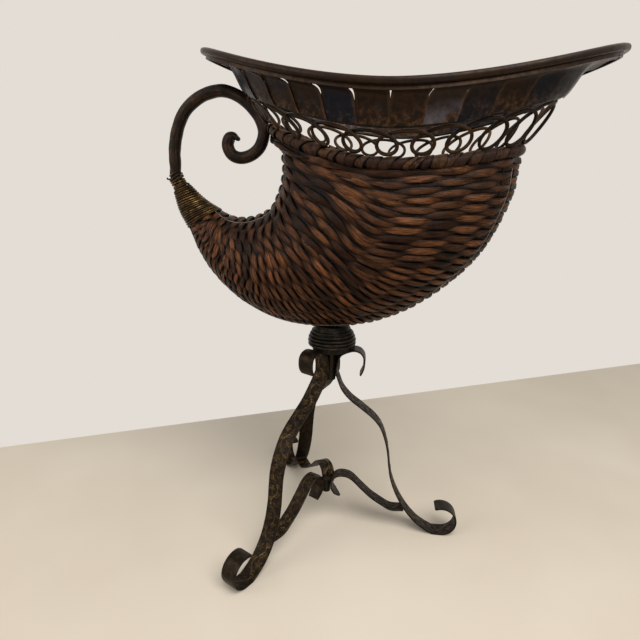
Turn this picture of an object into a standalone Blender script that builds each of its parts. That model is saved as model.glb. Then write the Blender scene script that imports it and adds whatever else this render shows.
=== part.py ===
"""Cornucopia basket on a wrought iron tripod.

A woven horn hangs between a bound tail and an oval mouth. A looped reed course joins the mouth's
wrapped border to a flared collar of overlapping sheet staves, which a rolled lip finishes. Three
scrolled straps and three stretchers carry it. Lengths are in metres, +Z is up, +X is the mouth's
long way and the tail points to -X. The origin is under the middle of the whole object, on the floor.
"""

from collections import namedtuple
from math import atan2, copysign, cos, hypot, pi, radians, sin, tan

import bmesh
import bpy
import numpy as np
from mathutils import Vector
from mathutils.bvhtree import BVHTree

# Clearance between pieces that touch
GAP = 0.0003
# Most that a modifier merges
MERGE = 0.0001

# Stand
STAND_HEIGHT = 0.2535
FOOT_SPREAD = 0.1575
FOOT_SCROLL_RADIUS = 0.0172
STRAP_WIDTH = 0.019
STRAP_THICKNESS = 0.0025
STRETCHER_WIDTH = 0.016
STRETCHER_END_HEIGHT = 0.0285
HOOK_RISE = 0.029
POST_LENGTH = 0.036
HUB_PIN_LENGTH = 0.016
LEG_ASIDE_FRONT = 0.007
LEG_ASIDE_BACK = 0.005
LEG_BOW_FRONT = 0.005
LEG_BOW_RIGHT = -0.008
# Each leg: its direction, how far its plane stands beside the axis, and how far its knee bows out
Leg = namedtuple("Leg", "name azimuth aside bow")
LEGS = (
    Leg("front", radians(-115.6), LEG_ASIDE_FRONT, LEG_BOW_FRONT),
    Leg("right", radians(4.7), 0, LEG_BOW_RIGHT),
    Leg("back", radians(124.5), LEG_ASIDE_BACK, 0),
)

# Neck between the stand and the basket
NECK_DIAMETER = 0.0366
COIL_DIAMETER = 0.0535
COIL_WIRE = 0.0040
BOLT_DIAMETER = 0.006
BOLT_HEAD_DIAMETER = 0.013
BOLT_HEAD_HEIGHT = 0.0035
BOLT_GRIP = 0.018
WASHER_DIAMETER = 0.024
WASHER_THICKNESS = 0.0015

# Mouth rings of the basket: middles and lengths along X, depths along Y
BORDER_CENTRE = 0.0518
BORDER_LENGTH = 0.239
BORDER_DEPTH = 0.140
BORDER_THICKNESS = 0.011
BORDER_TAIL_RISE = 0.031
BORDER_FRONT_RISE = 0.016
LOOP_COURSE_HEIGHT = 0.0293
LOOP_REED = 0.0029
LOOP_STAND_OFF = 0.0026
HOOP_CENTRE = 0.0543
HOOP_LENGTH = 0.292
HOOP_DEPTH = 0.165
HOOP_WIRE = 0.0032
HOOP_RISE = 0.033
COLLAR_HEIGHT = 0.0355
STAVE_OVERLAP = 0.0016
STAVE_THICKNESS = 0.0009
RIM_CENTRE = 0.0553
RIM_LENGTH = 0.391
RIM_DEPTH = 0.208
RIM_RISE = 0.039
LIP_THICKNESS = 0.0065
LIP_DEPTH = 0.010

# Horn, tail binding and scroll rod
THROAT_RADIUS = 0.060
HORN_WALL = 0.005
WEAVE_RELIEF = 0.002
TAIL_WALL = 0.0025
ROD_DIAMETER = 0.011
ROD_SOCKET = 0.022
ROD_RUN = 0.0143
TAIL_WIRE = 0.0023
TAIL_PITCH = 0.0034

# Numbers of repeated pieces and turns
COIL_TURNS = 5
LOOP_COUNT = 22
STAVE_COUNT = 28
TAIL_TURNS = 15
TAIL_TURNS_ON_ROD = 3

# How the mouth's edges lift towards their two ends, as a power of the cosine
RISE_POWER = 1.8
# Width of a loop as a share of its pitch along the course
LOOP_SWING_SHARE = 0.52
# Roundness of the lip's section: 1 is an ellipse and 0 is a square
LIP_ROUND_SHARE = 0.7
# Strap centreline from the hook's tip to the foot: shares of the foot's spread, and of the hook's
# height for the hook or of the stand's height for the shank
LEG_HOOK_SHARES = (
    (0.229, -0.12), (0.250, 0.35), (0.249, 0.66), (0.221, 0.91), (0.178, 1.00),
    (0.140, 0.97), (0.098, 0.84), (0.064, 0.61),
)
LEG_ROOT_SHARES = (0.808, 0.776)
LEG_SHANK_SHARES = (
    (0.102, 0.726), (0.187, 0.665), (0.270, 0.623), (0.362, 0.576), (0.425, 0.529),
    (0.476, 0.458), (0.502, 0.394), (0.514, 0.331), (0.527, 0.268), (0.555, 0.201),
    (0.594, 0.142), (0.641, 0.093), (0.698, 0.051), (0.764, 0.020),
)
LEG_FLAT_SHARE = 0.825
FOOT_SCROLL_END = radians(118)
FOOT_SCROLL_POINTS = 13
# Stretcher centreline inwards from the leg, then its upright root and its curled tip
STRETCHER_SHARES = (
    (0.502, 0.109), (0.432, 0.130), (0.343, 0.166), (0.267, 0.209), (0.190, 0.254), (0.127, 0.267),
    (0.072, 0.258),
)
STRETCHER_ROOT_SHARES = (0.229, 0.197)
STRETCHER_TIP_SHARES = ((0.063, 0.170), (0.105, 0.142))
# Barrel outline of the neck's coil, top first: shares of its bulge and of its height
COIL_SHARES = ((0.25, 1.0), (0.80, 0.78), (1.0, 0.5), (1.0, 0.25), (0.80, 0.0))

# Fan of horn sections about the throat's centre, mouth first: outer turn, outer radius as a share of
# the reach, inner turn, inner radius as a share of the throat's, half depth as a share of the border's
# and sag as a share of the mouth's
Station = namedtuple("Station", "outer_turn outer_share inner_turn inner_share depth_share sag_share")
HORN_SHARES = (
    Station(-7, 1.001, 15, 0.775, 1.080, 0.72),
    Station(-19, 0.964, -2, 0.817, 1.110, 0.43),
    Station(-32, 0.896, -20, 0.883, 1.090, 0.21),
    Station(-45, 0.822, -38, 0.958, 1.030, 0.09),
    Station(-58, 0.737, -54, 1.033, 0.930, 0.0),
    Station(-72, 0.652, -70, 1.050, 0.815, 0.0),
    Station(-86, 0.559, -84, 1.058, 0.690, 0.0),
    Station(-100, 0.471, -96, 1.058, 0.545, 0.0),
    Station(-113, 0.400, -104.5, 1.042, 0.410, 0.0),
    Station(-125, 0.347, -112, 1.025, 0.290, 0.0),
    Station(-138, 0.322, -131, 1.035, 0.195, 0.0),
)
THROAT_CENTRE_SHARES = (0.638, 0.453)
TAIL_END_TURN = radians(-151)
TAIL_END_SHARE = 1.242
# Scroll of the rod after its straight run: shares of the span from there to the border, and of the
# height from there to the hoop
SCROLL_SHARES = (
    (0.000, 0.131), (0.002, 0.353), (0.050, 0.601), (0.143, 0.802), (0.295, 0.941), (0.446, 1.005),
    (0.580, 1.020), (0.723, 0.972), (0.845, 0.885), (0.935, 0.775), (0.988, 0.660), (1.000, 0.540),
    (0.955, 0.395), (0.862, 0.299), (0.750, 0.262), (0.655, 0.296), (0.608, 0.392), (0.618, 0.479),
    (0.668, 0.521), (0.718, 0.491),
)
# How far along that span the rod has dipped enough to pass under the hoop's end
HOOP_PASS_SHARE = 0.85
# Collar's bell outline from the hoop up to the lip: shares of the way out and of the way up
BELL_SHARES = ((0.0, 0.0), (0.10, 0.15), (0.20, 0.36), (0.31, 0.60), (0.50, 0.84), (1.0, 1.0))

# Facets
HORN_SIDES = 26
HORN_ROWS = 24
LOOP_POINTS = 14
WINDING_POINTS = 14
COIL_POINTS = 22
RING_POINTS = 48
LIP_SIDES = 8
TURNED_STEPS = 24
STAVE_COLUMNS = 2
CURVE_STEPS = 3

Ring = namedtuple("Ring", "centre half_length half_depth height tail_rise front_rise")

# Rings of the mouth; height zero of the basket's own group is the border's middle
BORDER = Ring(
    BORDER_CENTRE, BORDER_LENGTH / 2, BORDER_DEPTH / 2, 0, BORDER_TAIL_RISE, BORDER_FRONT_RISE,
)
HOOP = Ring(HOOP_CENTRE, HOOP_LENGTH / 2, HOOP_DEPTH / 2, LOOP_COURSE_HEIGHT, HOOP_RISE, HOOP_RISE)
LIP = Ring(
    RIM_CENTRE,
    (RIM_LENGTH - LIP_DEPTH) / 2,
    (RIM_DEPTH - LIP_DEPTH) / 2,
    LOOP_COURSE_HEIGHT + COLLAR_HEIGHT - LIP_THICKNESS / 2,
    RIM_RISE,
    RIM_RISE,
)
UP = Vector((0, 0, 1))


def ring_point(ring, angle):
    """Point of an oval ring whose two ends lift; angle 0 is the mouth's front end."""
    rise = ring.front_rise if cos(angle) > 0 else ring.tail_rise
    return Vector((
        ring.centre + ring.half_length * cos(angle),
        ring.half_depth * sin(angle),
        ring.height + rise * abs(cos(angle)) ** RISE_POWER,
    ))


def ring_along(ring, angle):
    """Level direction along the ring's outline."""
    return Vector((-ring.half_length * sin(angle), ring.half_depth * cos(angle), 0)).normalized()


def ring_outward(ring, angle):
    """Level direction square to the ring's outline, away from its middle."""
    return ring_along(ring, angle).cross(UP)


def ring_speed(ring, angle):
    """Length of the ring's outline for each radian at an angle."""
    return hypot(ring.half_length * sin(angle), ring.half_depth * cos(angle))


def blend(low, high, share):
    """Ring part of the way from one ring to another."""
    return Ring(*(a + (b - a) * share for a, b in zip(low, high)))


def outline_table(ring):
    """Angles round a ring from its tail end, and the length of outline up to each."""
    angles = np.linspace(pi, 3 * pi, 1441)
    middles = (angles[1:] + angles[:-1]) / 2
    steps = [ring_speed(ring, a) * (angles[1] - angles[0]) for a in middles]
    return angles, np.concatenate(([0], np.cumsum(steps)))


def angle_at(table, length):
    """Angle at a length of outline, which may run past the ring's start or end."""
    angles, lengths = table
    rounds = length // lengths[-1]
    return float(np.interp(length - rounds * lengths[-1], lengths, angles)) + 2 * pi * rounds


def smooth(points, steps):
    """Catmull-Rom curve through points, with a number of steps in each span."""
    known = [np.array(p, float) for p in points]
    known = [2 * known[0] - known[1]] + known + [2 * known[-1] - known[-2]]
    out = []
    for a, b, c, d in zip(known, known[1:], known[2:], known[3:]):
        for k in range(steps):
            t = k / steps
            bend = (2 * a - 5 * b + 4 * c - d) * t**2 + (3 * b - a - 3 * c + d) * t**3
            out.append(b + ((c - a) * t + bend) / 2)
    out.append(known[-2])
    return out


def lengths_along(points):
    """Length of a line of points up to each of them."""
    steps = [float(np.linalg.norm(np.subtract(b, a))) for a, b in zip(points, points[1:])]
    return np.concatenate(([0], np.cumsum(steps)))


def point_at(points, lengths, length):
    """Point of a line at a length along it."""
    columns = np.array([tuple(p) for p in points]).T
    return Vector([float(np.interp(length, lengths, column)) for column in columns])


def least_gap(name, points, diameter, closed):
    """Print a round strand's least clearance to its own other turns, measured between its points."""
    path = np.array([tuple(p) for p in points])
    if closed:
        path = np.vstack((path, path[:1]))
    fine = np.concatenate([np.linspace(a, b, 6)[:-1] for a, b in zip(path, path[1:])])
    lengths = lengths_along(fine)
    along = np.abs(lengths[:, None] - lengths[None, :])
    if closed:
        along = np.minimum(along, lengths[-1] - along)
    apart = np.linalg.norm(fine[:, None] - fine[None, :], axis=2)
    apart[along < 4 * diameter] = np.inf
    print(name, "least gap to itself in mm:", round(1000 * (float(apart.min()) - diameter), 2))


def clear_scene():
    for old in list(bpy.data.objects):
        bpy.data.objects.remove(old, do_unlink=True)


def collection(name):
    made = bpy.data.collections.new(name)
    bpy.context.scene.collection.children.link(made)
    return made


def material(name, colour, roughness, metallic):
    made = bpy.data.materials.new(name)
    made.use_nodes = True
    shader = made.node_tree.nodes["Principled BSDF"]
    shader.inputs["Base Color"].default_value = (*colour, 1)
    shader.inputs["Roughness"].default_value = roughness
    shader.inputs["Metallic"].default_value = metallic
    return made


clear_scene()
PARTS = collection("cornucopia_basket")
CUTTERS = collection("cornucopia_cutters")
STRAP_IRON = material("strap_iron", (0.035, 0.024, 0.015), 0.45, 0.8)
WIRE_IRON = material("wire_iron", (0.018, 0.016, 0.014), 0.5, 0.7)
SHEET_BRONZE = material("sheet_bronze", (0.045, 0.028, 0.020), 0.35, 0.8)
WINDING_BRASS = material("winding_brass", (0.16, 0.095, 0.035), 0.4, 0.9)
REED = material("reed", (0.070, 0.030, 0.015), 0.6, 0)
WRAPPED_REED = material("wrapped_reed", (0.045, 0.020, 0.012), 0.55, 0)
STEEL = material("fastener_steel", (0.30, 0.30, 0.29), 0.4, 1)


def group(name, parent):
    """Empty that carries the pieces of one assembly."""
    made = bpy.data.objects.new(name, None)
    made.parent = parent
    PARTS.objects.link(made)
    return made


def add(name, data, finish, parent):
    made = bpy.data.objects.new(name, data)
    made.data.materials.append(finish)
    made.parent = parent
    PARTS.objects.link(made)
    return made


def sheet(name, columns, rows, place, weights=()):
    """Mesh over a grid: place(i, j) is the corner in column i and row j, and weights holds a function
    of the same kind for each vertex group."""
    mesh = bpy.data.meshes.new(name)
    grid = bmesh.new()
    bmesh.ops.create_grid(grid, x_segments=columns, y_segments=rows, size=1)
    groups = grid.verts.layers.deform.verify()
    for vert in grid.verts:
        column = round((vert.co.x + 1) / 2 * columns)
        row = round((vert.co.y + 1) / 2 * rows)
        vert.co = place(column, row)
        for number, weight in enumerate(weights):
            vert[groups][number] = weight(column, row)
    bmesh.ops.remove_doubles(grid, verts=grid.verts, dist=MERGE)
    bmesh.ops.recalc_face_normals(grid, faces=grid.faces)
    grid.to_mesh(mesh)
    grid.free()
    mesh.shade_smooth()
    mesh.set_sharp_from_angle(angle=radians(40))
    return mesh


def thicken(made, thickness, offset):
    solid = made.modifiers.new("wall", "SOLIDIFY")
    solid.thickness = thickness
    solid.offset = offset
    return solid


def strand(name, points, diameter, finish, parent, closed=False, roundness=1):
    """Round rod, wire or reed through points, with 4 sides and 2 more for each step of roundness."""
    data = bpy.data.curves.new(name, "CURVE")
    data.dimensions = "3D"
    data.bevel_depth = diameter / 2
    data.bevel_resolution = roundness
    data.use_fill_caps = not closed
    spline = data.splines.new("POLY")
    spline.points.add(len(points) - 1)
    for knot, place in zip(spline.points, points):
        knot.co = (*place, 1)
    spline.use_cyclic_u = closed
    return add(name, data, finish, parent)


def turned(name, profile, finish, parent, closed=False):
    """Body turned about Z from a profile of radii and heights that runs down its outer side."""
    mesh = bpy.data.meshes.new(name)
    outline = bmesh.new()
    verts = [outline.verts.new((radius, 0, height)) for radius, height in profile]
    for a, b in zip(verts, verts[1:]):
        outline.edges.new((a, b))
    if closed:
        outline.edges.new((verts[-1], verts[0]))
    outline.to_mesh(mesh)
    outline.free()
    made = add(name, mesh, finish, parent)
    screw = made.modifiers.new("turn", "SCREW")
    screw.steps = TURNED_STEPS
    screw.render_steps = TURNED_STEPS
    screw.use_merge_vertices = True
    screw.merge_threshold = MERGE
    return made


def strap(name, path, width, finish, parent):
    """Flat bar bent along radii and heights, its width square to their plane."""
    made = add(name, sheet(
        name, len(path) - 1, 1, lambda i, j: Vector((path[i][0], (j - 1 / 2) * width, path[i][1])),
    ), finish, parent)
    thicken(made, STRAP_THICKNESS, 0).use_even_offset = True
    return made


def narrowest_turn():
    """Least angle between neighbouring legs."""
    turns = sorted(leg.azimuth for leg in LEGS)
    return min(b - a for a, b in zip(turns, turns[1:] + [turns[0] + 2 * pi]))


def root_radius(width):
    """Distance from the axis to a strap's centreline where three straps stand back to back."""
    half_turn = narrowest_turn() / 2
    return width / 2 / tan(half_turn) + STRAP_THICKNESS / 2 + GAP / sin(half_turn)


LEG_ROOT = root_radius(STRAP_WIDTH)
STRETCHER_ROOT = root_radius(STRETCHER_WIDTH)
HOOK_TOP = STAND_HEIGHT - HOOK_RISE
NECK_BOTTOM = HOOK_TOP + GAP


def leg_path(leg):
    """Centreline of a leg in its own upright plane, hook's tip first."""
    half = STRAP_THICKNESS / 2
    root_top, root_low = (share * STAND_HEIGHT for share in LEG_ROOT_SHARES)
    hook = [
        (out * FOOT_SPREAD, root_top + up * (HOOK_TOP - half - root_top)) for out, up in LEG_HOOK_SHARES
    ]
    root = [(LEG_ROOT, root_top), (LEG_ROOT, root_low)]
    shank = [(out * FOOT_SPREAD, half + up * (STAND_HEIGHT - half)) for out, up in LEG_SHANK_SHARES]
    flat = (LEG_FLAT_SHARE * FOOT_SPREAD, half)
    path = []
    for radius, height in smooth(hook + root + shank + [flat], CURVE_STEPS):
        bowed = sin(pi * height / root_low) ** 2 if height < root_low else 0
        path.append((max(radius + leg.bow * bowed, LEG_ROOT), height))
    centre = FOOT_SPREAD - half - FOOT_SCROLL_RADIUS
    turns = np.linspace(-pi / 2, FOOT_SCROLL_END, FOOT_SCROLL_POINTS)
    path += [
        (centre + FOOT_SCROLL_RADIUS * cos(turn), half + FOOT_SCROLL_RADIUS * (1 + sin(turn)))
        for turn in turns
    ]
    return path


def stretcher_path(leg_line):
    """Centreline of a stretcher, from its butt on the leg's inner face to its curled tip."""
    shank = [
        p for p in leg_line[:-FOOT_SCROLL_POINTS]
        if p[0] > STRETCHER_ROOT * 2 and p[1] < STAND_HEIGHT / 2
    ]
    heights = [p[1] for p in shank][::-1]
    radii = [p[0] for p in shank][::-1]
    seat = float(np.interp(STRETCHER_END_HEIGHT, heights, radii))
    above = float(np.interp(STRETCHER_END_HEIGHT + STRETCHER_WIDTH / 2, heights, radii))
    lean = atan2(seat - above, STRETCHER_WIDTH / 2)
    points = [(out * FOOT_SPREAD, up * STAND_HEIGHT) for out, up in STRETCHER_SHARES]
    climb = atan2(points[0][1] - STRETCHER_END_HEIGHT, seat - points[0][0])
    skew = abs(sin(lean - climb))
    stand_off = (STRAP_THICKNESS * (1 + skew) / 2 + GAP) / cos(lean - climb)
    butt = (seat - stand_off * cos(climb), STRETCHER_END_HEIGHT + stand_off * sin(climb))
    root = [(STRETCHER_ROOT, up * STAND_HEIGHT) for up in STRETCHER_ROOT_SHARES]
    tip = [(out * FOOT_SPREAD, up * STAND_HEIGHT) for out, up in STRETCHER_TIP_SHARES]
    curve = smooth([butt] + points + root + tip, CURVE_STEPS)
    return [(max(radius, STRETCHER_ROOT), height) for radius, height in curve]


def build_stand(parent):
    for leg in LEGS:
        line = leg_path(leg)
        pieces = (
            strap("leg_" + leg.name, line, STRAP_WIDTH, STRAP_IRON, parent),
            strap("stretcher_" + leg.name, stretcher_path(line), STRETCHER_WIDTH, STRAP_IRON, parent),
        )
        for piece in pieces:
            piece.rotation_euler.z = leg.azimuth
            piece.location = (leg.aside * sin(leg.azimuth), -leg.aside * cos(leg.azimuth), 0)
    bore = BOLT_DIAMETER / 2 + GAP
    post = LEG_ROOT - STRAP_THICKNESS / 2 - GAP
    socket = HOOK_TOP - BOLT_GRIP - GAP
    low = HOOK_TOP - POST_LENGTH
    turned(
        "leg_post",
        ((0, socket), (bore, socket), (bore, HOOK_TOP), (post, HOOK_TOP), (post, low), (0, low)),
        WIRE_IRON, parent,
    )
    pin = STRETCHER_ROOT - STRAP_THICKNESS / 2 - GAP
    top = STRETCHER_ROOT_SHARES[0] * STAND_HEIGHT
    low = top - HUB_PIN_LENGTH
    turned("hub_pin", ((0, top), (pin, top), (pin, low), (0, low)), WIRE_IRON, parent)


def build_neck(parent):
    """Barrel core with a wire coil round it, between the hooks and the horn."""
    bore = BOLT_DIAMETER / 2 + GAP
    neck = NECK_DIAMETER / 2
    inset = COIL_WIRE / 2 + GAP
    low = NECK_BOTTOM + inset
    rise = STAND_HEIGHT - inset - low
    bulge = (COIL_DIAMETER - COIL_WIRE) / 2 - neck - inset
    outline = [(neck + inset + out * bulge, low + up * rise) for out, up in smooth(COIL_SHARES, 3)]
    core = [(bore, STAND_HEIGHT), (neck, STAND_HEIGHT)]
    core += [(radius - inset, height) for radius, height in outline if height < STAND_HEIGHT - inset]
    core += [(outline[-1][0] - inset, NECK_BOTTOM), (bore, NECK_BOTTOM)]
    turned("neck_core", core, WIRE_IRON, parent, closed=True)
    radii = [radius / cos(pi / COIL_POINTS) for radius, height in outline][::-1]
    heights = [height for radius, height in outline][::-1]
    count = COIL_TURNS * COIL_POINTS
    points = []
    for k in range(count + 1):
        height = low + rise * k / count
        radius = float(np.interp(height, heights, radii))
        turn = 2 * pi * k / COIL_POINTS
        points.append((radius * cos(turn), radius * sin(turn), height))
    least_gap("neck_coil", points, COIL_WIRE, False)
    strand("neck_coil", points, COIL_WIRE, WIRE_IRON, parent)


def throat_centre():
    """Middle of the fan of horn sections, in the basket's upright mid plane."""
    end = ring_point(BORDER, pi)
    across, up = THROAT_CENTRE_SHARES
    return end - THROAT_RADIUS * Vector((across, 0, up))


def horn_reach():
    return ring_point(BORDER, 0).x - throat_centre().x


def fan_direction(turn):
    return Vector((cos(turn), 0, sin(turn)))


def section(outer, inner, half_depth, sag):
    """Points of one oval horn section, starting at its outer end."""
    middle = (outer + inner) / 2
    half = (outer - inner) / 2
    return [
        middle + half * cos(u) + Vector((0, half_depth * sin(u), -sag * sin(u) ** 2))
        for u in np.arange(HORN_SIDES) * 2 * pi / HORN_SIDES
    ]


def mouth_section(drop):
    """Horn's edge under the wrapped border, lowered by a drop."""
    points = []
    for u in np.arange(HORN_SIDES) * 2 * pi / HORN_SIDES:
        outward = ring_outward(BORDER, u) * HORN_WALL / 2
        steepness = ring_steepness(u)
        below = (BORDER_THICKNESS / 2 + 2 * GAP) * hypot(1, steepness) + drop
        points.append(ring_point(BORDER, u) + outward - UP * below)
    return points


def ring_steepness(angle):
    """Climb of the border's line for each unit of level length."""
    rise = BORDER.front_rise if cos(angle) > 0 else BORDER.tail_rise
    climb = RISE_POWER * rise * abs(cos(angle)) ** (RISE_POWER - 1) * abs(sin(angle))
    return climb / ring_speed(BORDER, angle)


def tail_radius():
    """Outer radius of the horn's last section, whose wall closes on the rod."""
    return ROD_DIAMETER / 2 + GAP + TAIL_WALL


def tail_middle():
    return throat_centre() + TAIL_END_SHARE * THROAT_RADIUS * fan_direction(TAIL_END_TURN)


def horn_table():
    """Corners of the horn's outer surface: rows from the mouth to the tail, each starting outside."""
    centre = throat_centre()
    sag = (ring_point(BORDER, 0).z + ring_point(BORDER, pi).z) / 2
    stations = [mouth_section(HORN_WALL)]
    for row in HORN_SHARES:
        stations.append(section(
            centre + row.outer_share * horn_reach() * fan_direction(radians(row.outer_turn)),
            centre + row.inner_share * THROAT_RADIUS * fan_direction(radians(row.inner_turn)),
            row.depth_share * BORDER.half_depth,
            row.sag_share * sag,
        ))
    outward = tail_radius() * fan_direction(TAIL_END_TURN)
    stations.append(section(tail_middle() + outward, tail_middle() - outward, tail_radius(), 0))
    fine = np.array([smooth([row[i] for row in stations], HORN_ROWS) for i in range(HORN_SIDES)])
    spans = len(stations) - 1
    return np.concatenate((
        [[tuple(p) for p in mouth_section(0)]],
        fine[:, ::spans].transpose(1, 0, 2),
    ))


def wall_share(row, rows):
    """Wall at a row of the horn as a share of the mouth's, thinner towards the tail."""
    mouth_rows = 1
    taper = max(0, row - mouth_rows) / (rows - mouth_rows)
    return 1 - (1 - TAIL_WALL / HORN_WALL) * taper


def dip_share(column, row, table):
    """Share of the weave's relief that a corner sinks: every other one, but for the edge and the tail."""
    bound = lengths_along(table.mean(axis=1))
    bound_from = bound[-1] - (TAIL_TURNS - TAIL_TURNS_ON_ROD) * TAIL_PITCH - TAIL_WIRE
    open_row = 1 < row < len(table) - 1 and bound[row] < bound_from
    return wall_share(row, len(table) - 1) * ((column + row) % 2) if open_row else 0


def build_horn(parent, table):
    """Horn's wall: its outer face dips where the reeds pass under a stake, and its inner face is smooth."""
    rows = len(table) - 1
    dips = [[dip_share(i, j, table) for i in range(HORN_SIDES)] for j in range(rows + 1)]
    mesh = sheet(
        "basket_body", HORN_SIDES, rows,
        lambda i, j: Vector(table[j][i % HORN_SIDES]),
        (
            lambda i, j: dips[j][i % HORN_SIDES],
            lambda i, j: wall_share(j, rows) - dips[j][i % HORN_SIDES] * WEAVE_RELIEF / HORN_WALL,
        ),
    )
    made = add("basket_body", mesh, REED, parent)
    made.vertex_groups.new(name="dip")
    made.vertex_groups.new(name="wall")
    relief = made.modifiers.new("weave", "DISPLACE")
    relief.vertex_group = "dip"
    relief.mid_level = 0
    relief.strength = -WEAVE_RELIEF
    thicken(made, HORN_WALL, -1).vertex_group = "wall"
    return made


def highest_under_disc(horn, radius, direction):
    """Height where a level disc on the axis first meets the horn, going up or down."""
    bpy.context.view_layer.update()
    tree = BVHTree.FromObject(horn, bpy.context.evaluated_depsgraph_get())
    start = -STAND_HEIGHT if direction.z > 0 else 0
    heights = []
    for share in np.linspace(0, 1, 5):
        for turn in np.linspace(0, 2 * pi, 24, endpoint=False):
            spot = Vector((radius * share * cos(turn), radius * share * sin(turn), start))
            heights.append(tree.ray_cast(spot, direction)[0].z)
    return min(heights) if direction.z > 0 else max(heights)


def bore_horn(horn):
    """Cut the bolt's hole through the bottom of the horn."""
    mesh = bpy.data.meshes.new("bolt_hole")
    tool = bmesh.new()
    bore = BOLT_DIAMETER / 2 + GAP
    bmesh.ops.create_cone(
        tool, cap_ends=True, segments=TURNED_STEPS, radius1=bore, radius2=bore, depth=BORDER_DEPTH,
    )
    tool.to_mesh(mesh)
    tool.free()
    cutter = bpy.data.objects.new("bolt_hole", mesh)
    cutter.parent = horn.parent
    cutter.location.z = -horn.parent.location.z + STAND_HEIGHT
    cutter.hide_render = True
    cutter.display_type = "WIRE"
    CUTTERS.objects.link(cutter)
    cut = horn.modifiers.new("bolt_hole", "BOOLEAN")
    cut.operation = "DIFFERENCE"
    cut.object = cutter


def build_bolt(parent, washer_seat):
    """Washer inside the basket and the bolt that draws the horn down on the stand."""
    bore = BOLT_DIAMETER / 2 + GAP
    top = washer_seat + WASHER_THICKNESS
    rim = WASHER_DIAMETER / 2
    turned(
        "inner_washer", ((bore, top), (rim, top), (rim, washer_seat), (bore, washer_seat)),
        STEEL, parent, closed=True,
    )
    under = top + GAP
    head = [
        (BOLT_HEAD_DIAMETER / 2 * sin(turn), under + BOLT_HEAD_HEIGHT * cos(turn))
        for turn in np.linspace(0, pi / 2, 5)
    ]
    shank = BOLT_DIAMETER / 2
    end = HOOK_TOP - BOLT_GRIP
    turned("basket_bolt", [*head, (shank, under), (shank, end), (0, end)], STEEL, parent)


def rod_path(table):
    """Scroll rod in the basket's mid plane, from its socket in the horn's tail to its curled tip."""
    middles = [Vector(row.mean(axis=0)) for row in table]
    lengths = lengths_along(middles)
    socket = [
        point_at(middles, lengths, lengths[-1] - ROD_SOCKET * share) for share in (1, 1 / 2, 0)
    ]
    away = fan_direction(TAIL_END_TURN - pi / 2)
    run = tail_middle() + ROD_RUN * away
    high = ring_point(HOOP, pi).z
    far = min(
        ring_point(BORDER, pi).x - (BORDER_THICKNESS + ROD_DIAMETER) / 2 - GAP,
        run.x + (ring_point(HOOP, pi).x - run.x) / HOOP_PASS_SHARE,
    )
    scroll = [
        Vector((run.x + across * (far - run.x), 0, run.z + up * (high - run.z)))
        for across, up in SCROLL_SHARES
    ]
    return [Vector(p) for p in smooth(socket + [run] + scroll, CURVE_STEPS)]


def winding_path(table, rod):
    """Wire bound tightly over the horn's tail, then down on to the rod."""
    middles = [Vector(row.mean(axis=0)) for row in table]
    lengths = lengths_along(middles)
    rod_start = 2 * CURVE_STEPS
    beyond = rod[rod_start:]
    beyond_lengths = lengths_along(beyond)
    spread = 1 / cos(pi / WINDING_POINTS)
    lift = TAIL_WIRE / 2 + GAP
    on_horn = (TAIL_TURNS - TAIL_TURNS_ON_ROD) * TAIL_PITCH
    count = TAIL_TURNS * WINDING_POINTS
    points = []
    for k in range(count + 1):
        turn = 2 * pi * k / WINDING_POINTS
        past = TAIL_TURNS * TAIL_PITCH * k / count - on_horn
        if past < 0:
            row = float(np.interp(lengths[-1] + past, lengths, np.arange(len(table))))
            middle = point_at(middles, lengths, lengths[-1] + past)
            skin = horn_skin(table, row, turn)
            radius = (skin - middle).length + lift
            outward = (skin - middle).normalized()
        else:
            middle = point_at(beyond, beyond_lengths, past)
            ahead = point_at(beyond, beyond_lengths, past + TAIL_PITCH) - middle
            normal = Vector((-ahead.z, 0, ahead.x)).normalized()
            outward = normal * cos(turn) + Vector((0, sin(turn), 0))
            step = min(max((past - lift) / TAIL_PITCH, 0), 1)
            wide = tail_radius() + lift
            radius = wide - (wide - ROD_DIAMETER / 2 - lift) * step**2 * (3 - 2 * step)
        points.append(middle + outward * radius * spread)
    return points


def horn_skin(table, row, turn):
    """Point of the horn's faceted outer surface."""
    low = min(int(row), len(table) - 2)
    line = table[low] + (table[low + 1] - table[low]) * (row - low)
    column = (turn / (2 * pi) % 1) * HORN_SIDES
    first = int(column) % HORN_SIDES
    return Vector(line[first] + (line[(first + 1) % HORN_SIDES] - line[first]) * (column - int(column)))


def build_tail(parent, table):
    rod = rod_path(table)
    strand("scroll_rod", rod, ROD_DIAMETER, WIRE_IRON, parent, roundness=2)
    points = winding_path(table, rod)
    least_gap("tail_winding", points, TAIL_WIRE, False)
    strand("tail_winding", points, TAIL_WIRE, WINDING_BRASS, parent)


def build_rings(parent):
    angles = np.arange(RING_POINTS) * 2 * pi / RING_POINTS
    border = [ring_point(BORDER, a) for a in angles]
    strand("border_ring", border, BORDER_THICKNESS, WRAPPED_REED, parent, closed=True, roundness=3)
    hoop = [ring_point(HOOP, a) for a in angles]
    strand("collar_hoop", hoop, HOOP_WIRE, WIRE_IRON, parent, closed=True)

    def lip_point(i, j):
        angle = 2 * pi * (i % RING_POINTS) / RING_POINTS
        turn = 2 * pi * (j % LIP_SIDES + 1 / 2) / LIP_SIDES
        out = copysign(abs(cos(turn)) ** LIP_ROUND_SHARE, cos(turn)) * LIP_DEPTH / 2
        up = copysign(abs(sin(turn)) ** LIP_ROUND_SHARE, sin(turn)) * LIP_THICKNESS / 2
        return ring_point(LIP, angle) + ring_outward(LIP, angle) * out + UP * up

    add("rim_lip", sheet("rim_lip", RING_POINTS, LIP_SIDES, lip_point), SHEET_BRONZE, parent)


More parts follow.
